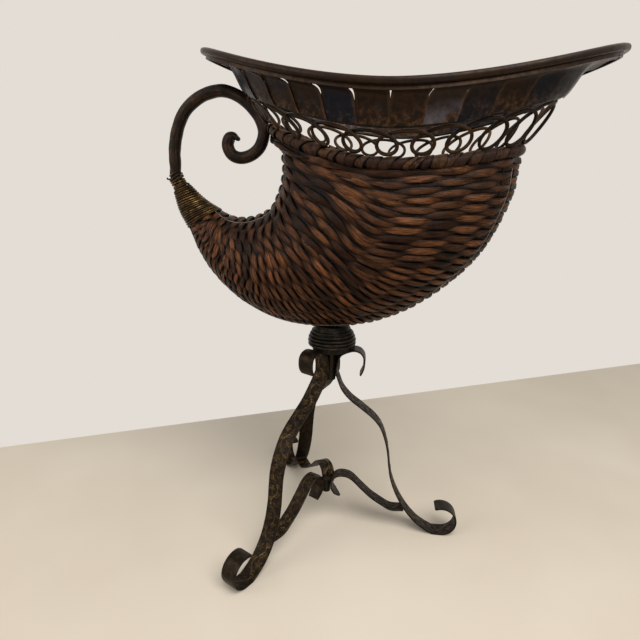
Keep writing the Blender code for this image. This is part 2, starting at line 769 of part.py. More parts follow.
def build_loops(parent):
    """Reed that loops round the gap between the border and the hoop without a break."""
    middle = blend(BORDER, HOOP, 1 / 2)
    table = outline_table(middle)
    pitch = table[1][-1] / LOOP_COUNT
    points = []
    for k in range(LOOP_COUNT * LOOP_POINTS):
        turn = 2 * pi * k / LOOP_POINTS
        angle = angle_at(table, pitch * (turn / (2 * pi) + LOOP_SWING_SHARE * sin(turn)))
        low = ring_point(BORDER, angle)
        climb = ring_point(HOOP, angle) - low
        bottom = BORDER_THICKNESS / 2 + 3 * GAP + LOOP_REED / 2
        top = climb.length - HOOP_WIRE / 2 - 3 * GAP - LOOP_REED / 2
        height = (bottom + top) / 2 + (top - bottom) / 2 * cos(turn)
        outward = ring_along(middle, angle).cross(climb).normalized()
        points.append(
            low + climb.normalized() * height + outward * LOOP_STAND_OFF * sin(turn)
        )
    least_gap("loop_course", points, LOOP_REED, True)
    strand("loop_course", points, LOOP_REED, REED, parent, closed=True)


def build_staves(parent):
    """Collar of sheet strips, each with one edge over its neighbour, open towards the lip."""
    lean = STAVE_THICKNESS / 2 + GAP
    bottom_out = HOOP_WIRE / 2 + GAP + STAVE_THICKNESS / 2 + lean
    foot = HOOP._replace(
        half_length=HOOP.half_length + bottom_out,
        half_depth=HOOP.half_depth + bottom_out,
    )
    head = LIP._replace(height=LIP.height - LIP_THICKNESS / 2 - 2 * GAP - STAVE_THICKNESS / 2 - lean)
    table = outline_table(foot)
    pitch = table[1][-1] / STAVE_COUNT
    width = pitch + STAVE_OVERLAP

    def surface(angle, out, up):
        low = ring_point(foot, angle)
        high = ring_point(head, angle)
        spot = low + (high - low) * out
        spot.z = low.z + (high.z - low.z) * up
        return spot

    for k in range(STAVE_COUNT):
        middle = angle_at(table, pitch * (k + 1 / 2))

        def stave_point(i, j):
            out, up = BELL_SHARES[j]
            side = 2 * i / STAVE_COLUMNS - 1
            angle = middle + side * width / 2 / ring_speed(blend(foot, head, out), middle)
            near = BELL_SHARES[max(j - 1, 0)]
            far = BELL_SHARES[min(j + 1, len(BELL_SHARES) - 1)]
            rise = surface(angle, *far) - surface(angle, *near)
            outward = ring_along(foot, angle).cross(rise).normalized()
            return surface(angle, out, up) + outward * lean * side

        name = f"stave_{k + 1:02d}"
        mesh = sheet(name, STAVE_COLUMNS, len(BELL_SHARES) - 1, stave_point)
        thicken(add(name, mesh, SHEET_BRONZE, parent), STAVE_THICKNESS, 0)


def centre_on_floor(root):
    """Move the whole object so that the middle of its box's bottom is the origin."""
    bpy.context.view_layer.update()
    depsgraph = bpy.context.evaluated_depsgraph_get()
    corners = []
    for piece in PARTS.objects:
        if piece.type == "EMPTY":
            continue
        shape = piece.evaluated_get(depsgraph)
        mesh = shape.to_mesh()
        corners += [tuple(piece.matrix_world @ vert.co) for vert in mesh.vertices]
        shape.to_mesh_clear()
    low = np.min(corners, axis=0)
    high = np.max(corners, axis=0)
    root.location = (-(low[0] + high[0]) / 2, -(low[1] + high[1]) / 2, -low[2])
    print("box in mm:", np.round((high - low) * 1000, 1), "root at:", np.round(root.location * 1000, 2))


def main():
    root = group("whole_object", None)
    build_stand(group("stand", root))
    build_neck(group("neck", root))
    basket = group("basket", root)
    table = horn_table()
    horn = build_horn(basket, table)
    basket.location.z = STAND_HEIGHT + GAP - highest_under_disc(horn, COIL_DIAMETER / 2, UP)
    washer_seat = highest_under_disc(horn, WASHER_DIAMETER / 2, -UP) + basket.location.z + GAP
    bore_horn(horn)
    build_bolt(group("fixing", root), washer_seat)
    build_tail(basket, table)
    build_rings(basket)
    build_loops(basket)
    build_staves(basket)
    print("border's middle stands in mm:", round(basket.location.z * 1000, 1))
    centre_on_floor(root)


main()
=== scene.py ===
"""Looks of the cornucopia basket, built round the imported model.

The rings, horn, looped reed and straps use the formulas of the CAD source, so each piece lies on the solid
that it stands for. Lengths are in metres, +Z is up and the tail points to -X.
"""
from collections import namedtuple
from math import atan2, cos, pi, radians, sin, tan

import bpy
import numpy as np
from mathutils import Matrix, Vector


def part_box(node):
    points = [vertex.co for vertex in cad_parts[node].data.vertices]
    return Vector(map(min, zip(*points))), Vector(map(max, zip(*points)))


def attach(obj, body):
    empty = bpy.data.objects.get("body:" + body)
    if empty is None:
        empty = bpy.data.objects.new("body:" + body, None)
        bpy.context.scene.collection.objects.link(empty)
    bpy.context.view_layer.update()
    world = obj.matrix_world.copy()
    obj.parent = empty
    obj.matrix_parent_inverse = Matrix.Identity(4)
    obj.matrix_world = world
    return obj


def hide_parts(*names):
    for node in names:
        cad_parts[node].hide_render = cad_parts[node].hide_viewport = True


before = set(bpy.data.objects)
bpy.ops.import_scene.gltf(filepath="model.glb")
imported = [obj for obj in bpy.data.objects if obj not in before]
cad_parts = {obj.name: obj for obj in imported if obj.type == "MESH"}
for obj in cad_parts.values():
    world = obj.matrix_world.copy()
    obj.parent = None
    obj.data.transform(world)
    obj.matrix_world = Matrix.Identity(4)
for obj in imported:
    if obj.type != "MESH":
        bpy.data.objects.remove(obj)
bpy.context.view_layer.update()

RNG = np.random.default_rng(7)
UP = np.array((0.0, 0, 1))
BACK = np.array((0.0, 1, 0))

# Sizes that the CAD source has too
GAP = 0.0003
STAND_HEIGHT = 0.2535
FOOT_SPREAD = 0.1575
FOOT_SCROLL_RADIUS = 0.0172
STRAP_WIDTH = 0.019
STRAP_THICKNESS = 0.0025
STRETCHER_WIDTH = 0.016
STRETCHER_END_HEIGHT = 0.0285
NECK_DIAMETER = 0.0366
COIL_DIAMETER = 0.0535
COIL_TURNS = 5
BORDER_THICKNESS = 0.011
LOOP_REED = 0.0029
LOOP_STAND_OFF = 0.0026
LOOP_COUNT = 22
LOOP_SWING_SHARE = 0.52
HOOP_WIRE = 0.0032
STAVE_COUNT = 28
STAVE_OVERLAP = 0.0016
STAVE_THICKNESS = 0.0009
LIP_THICKNESS = 0.0065
LIP_DEPTH = 0.010
THROAT_RADIUS = 0.060
HORN_WALL = 0.005
TAIL_WALL = 0.0025
ROD_DIAMETER = 0.011
ROD_RUN = 0.0143
ROD_IN_TAIL = 0.022
RISE_POWER = 1.8
HOOP_PASS_SHARE = 0.85
# Height over the floor of the basket's zero level, where the border ring's middle line is lowest
LIFT = 0.4241

# Sizes nearer to the photograph than the solids' own; the shapes differ by about 3 mm at most
HOOK_RISE = 0.0263
COIL_WIRE = 0.0032
COIL_HEIGHT = 0.0222
WINDING_WIRE = 0.00215
WINDING_TURNS = 21
WINDING_LENGTH = 0.051
WINDING_ON_ROD = 0.0102
# Loose ends of the winding: level, first turn, turn that they sweep and stand off
LOOSE_ENDS = ((0.0022, 0.3, 5.6, 0.0022), (0.0048, 2.5, 5.4, 0.0030), (0.0072, 4.4, 5.8, 0.0016))
# Share of the collar's widening that each stave follows
STAVE_WIDENING = 0.5

# Places on the straps are shares of the foot spread outward and of the stand's height upward; in the hooks,
# the second share counts up from the leg's root to the hook's crown
Leg = namedtuple("Leg", "name azimuth aside neck_bow knee_bow hook_share")
LEGS = (
    Leg("front", radians(-115.6), 0.007, 0, 0.005, 0.82),
    Leg("right", radians(4.7), 0, -0.0055, -0.008, 1),
    Leg("back", radians(124.5), 0.005, 0, 0, 1),
)
NECK_BOW_POWER = 6
LEG_CROWN_SHARE = 0.172
LEG_HOOK_SHARES = (
    (0.214, -0.36), (0.233, 0.00), (0.238, 0.36), (0.232, 0.68), (0.208, 0.91), (LEG_CROWN_SHARE, 1),
    (0.140, 0.97), (0.098, 0.84), (0.064, 0.61),
)
LEG_ROOT_SHARES = (0.808, 0.776)
LEG_SHANK_SHARES = (
    (0.102, 0.726), (0.187, 0.665), (0.270, 0.623), (0.362, 0.576), (0.425, 0.529),
    (0.476, 0.458), (0.502, 0.394), (0.514, 0.331), (0.527, 0.268), (0.555, 0.201),
    (0.594, 0.142), (0.641, 0.093), (0.698, 0.051), (0.764, 0.020),
)
LEG_FLAT_SHARE = 0.825
FOOT_SCROLL_END = radians(118)
FOOT_SCROLL_STEPS = 60
STRETCHER_SHARES = (
    (0.502, 0.109), (0.432, 0.130), (0.343, 0.166), (0.267, 0.209), (0.190, 0.254), (0.127, 0.267),
    (0.072, 0.258),
)
STRETCHER_ROOT_SHARES = (0.229, 0.197)
STRETCHER_TIP_SHARES = ((0.063, 0.170), (0.105, 0.142))
# Coil's outline: shares of its bulge and of its height
COIL_SHARES = ((0.05, 1.0), (0.32, 0.86), (0.78, 0.60), (1.0, 0.36), (0.90, 0.0))

# Horn's sections: turn and share of the outer edge, the same of the inner edge, depth share, sag share
HORN_SHARES = (
    (-7, 1.001, 15, 0.775, 1.080, 0.72),
    (-19, 0.964, -2, 0.817, 1.110, 0.43),
    (-32, 0.896, -20, 0.883, 1.090, 0.21),
    (-45, 0.822, -38, 0.958, 1.030, 0.09),
    (-58, 0.737, -54, 1.033, 0.930, 0.0),
    (-72, 0.652, -70, 1.050, 0.815, 0.0),
    (-86, 0.559, -84, 1.058, 0.690, 0.0),
    (-100, 0.471, -96, 1.058, 0.545, 0.0),
    (-113, 0.400, -104.5, 1.042, 0.410, 0.0),
    (-125, 0.347, -112, 1.025, 0.290, 0.0),
    (-138, 0.322, -131, 1.035, 0.195, 0.0),
)
HORN_STEPS = 18
THROAT_CENTRE_SHARES = (0.638, 0.453)
TAIL_END_TURN = radians(-151)
TAIL_END_SHARE = 1.242
# Rod's scroll: shares of its run toward the border and of its rise from the tail to the hoop
SCROLL_SHARES = (
    (0.000, 0.131), (0.002, 0.353), (0.050, 0.606), (0.143, 0.816), (0.295, 0.966), (0.446, 1.036),
    (0.580, 1.050), (0.723, 0.996), (0.845, 0.897), (0.935, 0.778), (0.988, 0.660), (1.000, 0.540),
    (0.955, 0.395), (0.862, 0.299), (0.750, 0.262), (0.655, 0.296), (0.608, 0.392), (0.618, 0.479),
    (0.668, 0.521), (0.718, 0.491),
)
ROD_STEPS = 12
# Collar's outline from the hoop to the lip: shares outward and upward
BELL_SHARES = ((0.0, 0.0), (0.10, 0.15), (0.20, 0.36), (0.31, 0.60), (0.50, 0.84), (1.0, 1.0))

Ring = namedtuple("Ring", "centre half_length half_depth height tail_rise front_rise")
BORDER = Ring(0.0518, 0.1195, 0.070, 0, 0.031, 0.016)
HOOP = Ring(0.0543, 0.146, 0.0825, 0.0293, 0.033, 0.033)
LIP = Ring(0.0553, 0.1905, 0.099, 0.06155, 0.039, 0.039)
STAVE_LEAN = STAVE_THICKNESS / 2 + GAP
STAVE_OFF = HOOP_WIRE / 2 + GAP + STAVE_THICKNESS / 2 + STAVE_LEAN
STAVE_TOP = LIP.height - LIP_THICKNESS / 2 - 2 * GAP - STAVE_THICKNESS / 2 - STAVE_LEAN
COLLAR_FOOT = HOOP._replace(half_length=HOOP.half_length + STAVE_OFF, half_depth=HOOP.half_depth + STAVE_OFF)
COLLAR_HEAD = LIP._replace(height=STAVE_TOP)

# Camera, solved from the photograph's outlines, and the table's far edge in the photograph's pixels
PHOTO_SIZE = 640
CAMERA_LENS = 29.25
SENSOR_WIDTH = 36
CAMERA_PLACE = (0.0891, -0.5428, 0.4202)
CAMERA_TURNS = (("Z", 10.785), ("X", 73.51), ("Z", 1.787))
TABLE_EDGE_PIXELS = ((80, 437), (560, 374))
FLOOR_REACH = 3.0

# Weave: stakes round the horn, facets between two of them, and the rows' pitches
STAKES = 24
STAKE_STEPS = 6
COLUMNS = STAKES * STAKE_STEPS
# Share of the rings from which every other stake has ended
SPARSE_SHARE = 0.66
THROAT_PITCH = 0.0048
MOUTH_PITCH = 0.0060
BELLY_PITCH = 0.0043
BELLY_FROM = 0.55
# Strands: seat and swing as shares of the wall, each with what is added at the horn's two edges
STRAND_SEAT = (0.42, 0.06)
STRAND_SWING = (0.29, 0.09)
STRAND_THICKNESS = 0.0013
STRAND_TILT = 0.16
# Power that holds a strand longer over or under a stake than a plain wave does
WAVE_POWER = 0.6
STAKE_WIDTH = 0.003
STAKE_THICKNESS = 0.0016
CORD_RADIUS = 0.0004
CORD_TURNS = (0.40, -0.40, pi - 0.42, pi + 0.42)

# Bands of flat reed round the border ring
BAND_COUNT = 58
BAND_SIDES = 28
BAND_STEPS = 7
BAND_THICKNESS = 0.0007
BAND_SKEW = 0.0042

# Embossed vine on a 19 mm strap, in metres: the stem's wave and swing, the leaf and the tendril
VINE_WAVE = 0.034
VINE_SWING = 0.0044
STEM_HALF = 0.00095
LEAF_REACH = 0.0056
LEAF_ASIDE = 0.0036
TENDRIL_RADIUS = 0.0030
TENDRIL_PLACE = (0.0052, -0.0040)
TENDRIL_SHRINK = 0.00038
TENDRIL_HALF = 0.00062
VEIN_HALF = 0.00035
# Petals: lean, place along and across, and half length
PETALS = ((2.2, -0.0042, -0.0052, 0.0040), (0.9, 0.0084, 0.0030, 0.0034), (-0.9, -0.0084, 0.0030, 0.0034))
# Straps' surface: length of a row, columns, and the relief over and under the strap's face
STRAP_STEP = 0.0007
STRAP_COLUMNS = 25
RELIEF_HEIGHT = 0.00070
RELIEF_DEPTH = 0.00060
STRAP_ROUNDING = 0.00035
STRAP_WOBBLE = 0.00010

post_low, post_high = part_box("leg_post")
AXIS = Vector(((post_low.x + post_high.x) / 2, (post_low.y + post_high.y) / 2, 0))
BASKET = np.array((AXIS.x, AXIS.y, LIFT))
STAND = np.array((AXIS.x, AXIS.y, 0))


def unit(vectors):
    return vectors / np.maximum(np.linalg.norm(vectors, axis=-1, keepdims=True), 1e-12)


def lerp(low, high, share):
    return low + (high - low) * share


def ease(values):
    share = np.clip(values, 0, 1)
    return share * share * (3 - 2 * share)


def bump(value, width):
    """Bell curve, 1 where the value is 0."""
    return np.exp(-(value / width) ** 2)


def signed_power(values, power):
    return np.sign(values) * np.abs(values) ** power


def full_turn(count, shift=0):
    return (np.arange(count) + shift) * 2 * pi / count


def stacked(*parts):
    return np.stack(np.broadcast_arrays(*parts), -1)


def doubled(values):
    """Values of a sheet's face, and again in reverse order for its back."""
    return np.concatenate((values, values[:, ::-1]), axis=1)


def sheet(face, offset):
    """Section points of a sheet: its face moved by an offset, and its back by the opposite one."""
    return np.concatenate((face + offset, (face - offset)[:, ::-1]), axis=1)


def ring_point(ring, angle):
    angle = np.asarray(angle, float)
    rise = np.where(np.cos(angle) > 0, ring.front_rise, ring.tail_rise)
    return np.stack((
        ring.centre + ring.half_length * np.cos(angle),
        ring.half_depth * np.sin(angle),
        ring.height + rise * np.abs(np.cos(angle)) ** RISE_POWER,
    ), -1)


def ring_along(ring, angle):
    angle = np.asarray(angle, float)
    return unit(stacked(-ring.half_length * np.sin(angle), ring.half_depth * np.cos(angle), 0))


def ring_outward(ring, angle):
    along = ring_along(ring, angle)
    return np.stack((along[..., 1], -along[..., 0], along[..., 2]), -1)


def ring_speed(ring, angle):
    return np.hypot(ring.half_length * np.sin(angle), ring.half_depth * np.cos(angle))


def blend(low, high, share):
    return Ring(*(lerp(*pair, share) for pair in zip(low, high)))


def outline_table(ring):
    """Angles round a ring, from its tail end, and the lengths up to them."""
    angles = np.linspace(pi, 3 * pi, 1441)
    middles = (angles[1:] + angles[:-1]) / 2
    steps = ring_speed(ring, middles) * (angles[1] - angles[0])
    return angles, np.concatenate(([0], np.cumsum(steps)))


def angle_at(table, length):
    angles, lengths = table
    rounds = np.floor(length / lengths[-1])
    return np.interp(length - rounds * lengths[-1], lengths, angles) + 2 * pi * rounds


def smooth(points, steps):
    """Catmull-Rom curve through points, with a number of steps in each span."""
    known = [np.array(point, float) for point in points]
    known = [2 * known[0] - known[1]] + known + [2 * known[-1] - known[-2]]
    out = []
    for before, here, ahead, after in zip(known, known[1:], known[2:], known[3:]):
        for step in range(steps):
            t = step / steps
            bend = (2 * before - 5 * here + 4 * ahead - after) * t**2
            bend = bend + (3 * here - before - 3 * ahead + after) * t**3
            out.append(here + ((ahead - before) * t + bend) / 2)
    out.append(known[-2])
    return np.array(out)


def lengths_along(points):
    return np.concatenate(([0], np.cumsum(np.linalg.norm(np.diff(points, axis=0), axis=1))))


def point_at(points, lengths, where):
    return np.stack([np.interp(where, lengths, column) for column in points.T], -1)


def resample(points, count):
    lengths = lengths_along(points)
    return point_at(points, lengths, np.linspace(0, lengths[-1], count))


def along_path(path, closed=False):
    """Unit directions along a path."""
    if closed:
        return unit(np.roll(path, -1, axis=0) - np.roll(path, 1, axis=0))
    return unit(np.gradient(path, axis=0))


def wander(count, knots, size, closed=False):
    """Smooth random line of a number of values, from random knots."""
    if closed:
        known = RNG.normal(0, size, knots)
        places = np.arange(count) * knots / count
    else:
        known = RNG.normal(0, size, knots + 1)
        places = np.linspace(0, knots, count)
    low = np.minimum(np.floor(places).astype(int), knots - 1)
    share = ease(places - low)
    return known[low] * (1 - share) + known[(low + 1) % len(known)] * share


class Shape:
    """Mesh gathered from swept strips, with a map of strips side by side and values for the materials."""

    def __init__(self):
        self.points, self.lay, self.tint, self.wear = [], [], [], []
        self.quads, self.maps, self.caps, self.cap_maps = [], [], [], []
        self.count = 0
        self.strips = 0

    def strip(self, points, lay, tint, wear, closed):
        """Closed section swept along rows: points and lay have the shape rows, section, 3."""
        rows, around = points.shape[:2]
        spans = rows if closed else rows - 1
        index = np.arange(rows * around).reshape(rows, around)
        corners = (index, np.roll(index, -1, 1), np.roll(index, (-1, -1), (0, 1)), np.roll(index, -1, 0))
        quads = np.stack(corners, -1)[:spans].reshape(-1, 4)
        places = np.indices((spans, around)).reshape(2, -1, 1)
        row, column = places + np.array(((0, 0, 1, 1), (0, 1, 1, 0)))[:, None]
        maps = np.stack((0.002 + 0.996 * row / spans, self.strips + 0.04 + 0.92 * column / around), -1)
        flat = points.reshape(-1, 3)
        first, second, _, last = flat[quads[spans // 2 * around]]
        centre = points[spans // 2].mean(axis=0)
        flip = np.dot(np.cross(second - first, last - first), first + second - 2 * centre) < 0
        if flip:
            quads = quads[:, ::-1]
            maps = maps[:, ::-1]
        self.points.append(flat)
        self.quads.append(quads + self.count)
        self.maps.append(maps)
        if not closed:
            turn = full_turn(around)
            for end, place in ((index[0], 0.0005), (index[-1, ::-1], 0.9995)):
                self.caps.append(((end if flip else end[::-1]) + self.count).tolist())
                cap = (place + 0.0004 * np.cos(turn), self.strips + 0.5 + 0.3 * np.sin(turn))
                self.cap_maps.append(np.stack(cap, -1))
        self.lay.append(lay.reshape(-1, 3))
        self.tint.append(np.broadcast_to(tint, (rows, around)).reshape(-1))
        self.wear.append(np.broadcast_to(wear, (rows, around)).reshape(-1))
        self.count += len(flat)
        self.strips += 1

    def sweep(self, path, side, normal, wide, thick, sides=8, power=0.75, closed=False, tint=0.5, wear=0.0,
              shade=0.0):
        """Rounded bar along a path; wide and thick are its half sizes along side and normal."""
        count = len(path)
        values = [np.broadcast_to(value, count).astype(float) for value in (wide, thick, tint, wear)]
        values += [np.broadcast_to(value, (count, 3)) for value in (side, normal)]
        if not closed:
            values = [np.concatenate((v[:1], v[:1], v, v[-1:], v[-1:])) for v in values]
        wide, thick, tint, wear, side, normal = values
        if not closed:
            first = unit(path[0] - path[1]) * min(wide[0], thick[0])
            last = unit(path[-1] - path[-2]) * min(wide[-1], thick[-1])
            path = np.vstack((
                path[0] + first, path[0] + first * 0.7, path, path[-1] + last * 0.7, path[-1] + last,
            ))
            for size in (wide, thick):
                size[[0, 1, -2, -1]] *= (0.25, 0.72, 0.72, 0.25)
        turn = full_turn(sides, 0.5)
        across = signed_power(np.cos(turn), power)
        x = wide[:, None] * across
        y = thick[:, None] * signed_power(np.sin(turn), power)
        points = path[:, None] + side[:, None] * x[..., None] + normal[:, None] * y[..., None]
        lay = stacked(lengths_along(path)[:, None] + RNG.uniform(0, 5), x, y)
        # Painted shade: the value falls toward the strip's sides, so that the reed finishes paint a strand's
        # edges darker.
        wear = wear[:, None] * (1 - shade * np.abs(across) ** 2.5)
        self.strip(points, lay, tint[:, None], wear, closed)

    def hoop(self, ring, radius, count, tint=0.5):
        """Round bar that follows a ring."""
        angles = full_turn(count)
        self.sweep(
            ring_point(ring, angles), ring_outward(ring, angles), UP, radius, radius, sides=12, power=1,
            closed=True, tint=tint,
        )

    def strand(self, path, outward, radius, flat=1, closed=False, power=1, **values):
        """Round strand along a path, with its flatter way outward."""
        along = along_path(path, closed)
        side = unit(np.cross(outward, along))
        self.sweep(
            path, side, np.cross(along, side), radius, radius * flat, closed=closed, power=power, **values,
        )

    def build(self, name, finish, nodes, shift=BASKET):
        """Object of the gathered strips, in the row's frame, that stands for CAD nodes."""
        mesh = bpy.data.meshes.new(name)
        quads = np.concatenate(self.quads)
        mesh.from_pydata((np.concatenate(self.points) + shift).tolist(), [], quads.tolist() + self.caps)
        layer = mesh.uv_layers.new(name="OFBake")
        maps = np.concatenate([np.concatenate(self.maps).reshape(-1, 2)] + self.cap_maps)
        maps[:, 1] /= self.strips
        layer.data.foreach_set("uv", maps.astype(np.float32).reshape(-1))
        for label, kind, key in (
            ("lay", "FLOAT_VECTOR", "vector"), ("tint", "FLOAT", "value"), ("wear", "FLOAT", "value"),
        ):
            store = mesh.attributes.new(label, kind, "POINT")
            values = np.concatenate(getattr(self, label))
            store.data.foreach_set(key, values.astype(np.float32).reshape(-1))
        mesh.shade_smooth()
        mesh.set_sharp_from_angle(angle=radians(50))
        mesh.materials.append(finish)
        made = bpy.data.objects.new(name, mesh)
        bpy.context.scene.collection.objects.link(made)
        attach(made, "root")
        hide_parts(*nodes)


def colour(text):
    """Linear colour, with alpha, from six hexadecimal digits."""
    parts = [int(text[k:k + 2], 16) / 255 for k in (0, 2, 4)]
    return (*(c / 12.92 if c < 0.04045 else ((c + 0.055) / 1.055) ** 2.4 for c in parts), 1)


class Tree:
    """Short way to write the nodes of a material or a world; colours are six hexadecimal digits."""

    def __init__(self, made):
        self.made = made
        made.use_nodes = True
        self.tree = made.node_tree

    def set(self, socket, value):
        if isinstance(value, bpy.types.NodeSocket):
            self.tree.links.new(value, socket)
        else:
            socket.default_value = colour(value) if isinstance(value, str) else value

    def node(self, kind, inputs, output=0, **settings):
        made = self.tree.nodes.new("ShaderNode" + kind)
        for key, value in settings.items():
            setattr(made, key, value)
        for key, value in inputs.items():
            self.set(made.inputs[key], value)
        return made.outputs[output]

    def attribute(self, name, output):
        return self.node("Attribute", {}, output, attribute_name=name)

    def place(self):
        """Place on the object, in metres."""
        return self.node("TexCoord", {}, "Object")

    def scaled(self, vector, scale):
        return self.node("VectorMath", {0: vector, 1: scale}, operation="MULTIPLY")

    def noise(self, vector, scale=1.0, detail=3.0, rough=0.55):
        inputs = {"Vector": vector, "Scale": scale, "Detail": detail, "Roughness": rough}
        return self.node("TexNoise", inputs)

    def math(self, operation, a, b):
        return self.node("Math", {0: a, 1: b}, operation=operation)

    def times(self, a, b):
        return self.math("MULTIPLY", a, b)

    def span(self, value, low, high, to_low=0.0, to_high=1.0):
        return self.node("MapRange", {
            "Value": value, "From Min": low, "From Max": high, "To Min": to_low, "To Max": to_high,
        })

    def mix(self, share, a, b):
        """Colour a, and colour b by the share."""
        return self.node("Mix", {0: share, 6: a, 7: b}, 2, data_type="RGBA")

    def finish(self, base, roughness, height, depth, strength, **values):
        """Sets the material's shader: depth and strength are those of the bumps."""
        shader = self.tree.nodes["Principled BSDF"]
        bumps = self.node("Bump", {"Height": height, "Distance": depth, "Strength": strength})
        values.update(Base_Color=base, Roughness=roughness, Normal=bumps)
        for key, value in values.items():
            self.set(shader.inputs[key.replace("_", " ")], value)
        return self.made


def reed_finish(name, dark, plain, light, glint, roughness):
    """Stained reed: streaks along the strand, a tint for each strand, and painted shade that darkens it in
    the hollows.
    """
    t = Tree(bpy.data.materials.new(name))
    lay = t.attribute("lay", 1)
    tint = t.attribute("tint", 2)
    wear = t.attribute("wear", 2)
    streaks = t.noise(t.scaled(lay, (90, 2600, 2600)), detail=4.0, rough=0.6)
    blots = t.noise(t.scaled(lay, (60, 160, 160)), detail=2.0)
    base = t.mix(t.span(tint, 0.20, 0.80), plain, light)
    base = t.mix(t.times(t.span(tint, 0.62, 0.95), t.span(blots, 0.45, 0.62)), base, glint)
    base = t.mix(t.span(blots, 0.50, 0.72, 0.0, 0.8), base, dark)
    base = t.mix(t.span(streaks, 0.42, 0.58, 0.85, 0.0), base, dark)
    # Painted shade: a low wear-and-light value paints the reed near black, where it lies in a hollow, under
    # a stake or at a strand's edge.
    base = t.mix(t.span(wear, 0.15, 0.80, 0.98, 0.0), base, dark)
    rough = t.span(streaks, 0.3, 0.7, roughness + 0.10, roughness - 0.10)
    return t.finish(base, rough, streaks, 0.00026, 1.0, Specular_IOR_Level=0.09)


WEAVE_FINISH = reed_finish("reed_weave", "020101", "2f190b", "7b4e30", "8e480c", 0.36)
BORDER_FINISH = reed_finish("reed_border", "080403", "352017", "5b3f2b", "744218", 0.42)
LOOP_FINISH = reed_finish("reed_loops", "070403", "261709", "53371c", "6c431b", 0.38)


def iron_finish(name, dark, light, roughness, metallic):
    """Dark iron or wire with drawn streaks and rubbed places."""
    t = Tree(bpy.data.materials.new(name))
    streaks = t.noise(t.scaled(t.attribute("lay", 1), (60, 1500, 1500)), detail=4.0)
    rubbed = t.noise(t.place(), 90.0, 4.0, 0.65)
    base = t.mix(t.times(t.span(streaks, 0.45, 0.68), t.span(rubbed, 0.42, 0.62)), dark, light)
    rough = t.span(rubbed, 0.35, 0.65, roughness + 0.12, roughness - 0.08)
    return t.finish(base, rough, streaks, 0.00015, 0.8, Metallic=metallic, Specular_IOR_Level=0.15)


ROD_FINISH = iron_finish("iron_rod", "140d08", "4a3220", 0.40, 0.25)
WIRE_FINISH = iron_finish("iron_wire", "12100c", "4c4030", 0.40, 0.35)
BRASS_FINISH = iron_finish("brass_wire", "2c2013", "a3834f", 0.36, 0.7)
CORD_FINISH = iron_finish("thin_wire", "6b6258", "b8aea0", 0.4, 0.5)
STEEL_FINISH = iron_finish("bolt_steel", "8a8a88", "a8a8a4", 0.4, 0.9)


def strap_finish(name, dark, bronze, gold):
    """Black-brown strap whose embossed vine is rubbed to gold bronze."""
    t = Tree(bpy.data.materials.new(name))
    where = t.place()
    fine = t.noise(where, 700.0)
    broad = t.noise(where, 45.0, 3.0, 0.6)
    patch = t.noise(where, 160.0, 3.0, 0.6)
    base = t.mix(t.span(patch, 0.45, 0.70, 0.0, 0.35), dark, bronze)
    share = t.times(t.span(t.attribute("wear", 2), 0.35, 0.95), t.span(patch, 0.36, 0.60, 0.15, 0.95))
    base = t.mix(share, base, bronze)
    glints = t.times(share, t.span(broad, 0.42, 0.60))
    base = t.mix(t.times(glints, t.span(fine, 0.44, 0.60)), base, gold)
    rough = t.span(fine, 0.3, 0.7, 0.5, 0.34)
    return t.finish(base, rough, fine, 0.00012, 0.7, Metallic=0.45, Specular_IOR_Level=0.15)


STRAP_FINISH = strap_finish("strap_vine", "140e09", "47341a", "927640")
GREY_STRAP_FINISH = strap_finish("strap_vine_grey", "17120d", "43372b", "786752")


def sheet_finish():
    """Patinated sheet: blue-black and brown panels, mottled bronze low down, pale rubbed edges, and painted
    highlights.
    """
    t = Tree(bpy.data.materials.new("sheet_patina"))
    tint = t.attribute("tint", 2)
    up = t.node("SeparateXYZ", {"Vector": t.attribute("lay", 1)}, 2)
    where = t.place()
    mottle = t.noise(where, 190.0, 5.0, 0.68)
    cloud = t.noise(where, 38.0, 3.0, 0.6)
    patch = t.math("ADD", tint, t.span(cloud, 0.3, 0.7, -0.30, 0.30))
    base = t.mix(t.span(patch, 0.15, 0.70), "0f111b", "25170d")
    base = t.mix(t.times(t.span(mottle, 0.50, 0.38), 0.65), base, "0c0908")
    speck = t.times(t.span(mottle, 0.52, 0.68), t.span(up, 0.75, 0.10))
    base = t.mix(t.times(speck, 0.30), base, "4c4a50")
    low = t.times(t.span(up, 0.60, 0.05), t.span(mottle, 0.48, 0.66))
    low = t.times(low, t.span(tint, 0.15, 0.6, 0.25, 0.9))
    base = t.mix(t.times(low, 0.65), base, "5a3d20")
    high = t.times(t.span(up, 0.70, 0.95), t.span(mottle, 0.35, 0.7, 0.25, 0.75))
    base = t.mix(t.times(high, 0.8), base, "35261a")
    # Painted highlight: a pale glint on the lower part of the one stave whose tint is near 1.
    painted_glint = t.times(t.span(tint, 0.96, 0.99), t.span(cloud, 0.35, 0.6))
    base = t.mix(t.times(painted_glint, t.span(up, 0.66, 0.25, 0.05, 0.6)), base, "6c7180")
    # On the staves this lightens their rubbed edges; on the lip it paints a highlight line along the top.
    rubbed = t.times(t.attribute("wear", 2), t.span(mottle, 0.3, 0.6, 0.3, 0.9))
    base = t.mix(rubbed, base, "664a2e")
    rough = t.span(mottle, 0.35, 0.65, 0.46, 0.30)
    return t.finish(base, rough, mottle, 0.00012, 0.6, Metallic=0.4, Specular_IOR_Level=0.15)


SHEET_FINISH = sheet_finish()


def fan(turn):
    return np.array((cos(turn), 0, sin(turn)))


THROAT_WAY = np.array((THROAT_CENTRE_SHARES[0], 0, THROAT_CENTRE_SHARES[1]))
CENTRE = ring_point(BORDER, pi) - THROAT_RADIUS * THROAT_WAY
REACH = ring_point(BORDER, 0)[0] - CENTRE[0]
TAIL_MIDDLE = CENTRE + TAIL_END_SHARE * THROAT_RADIUS * fan(TAIL_END_TURN)


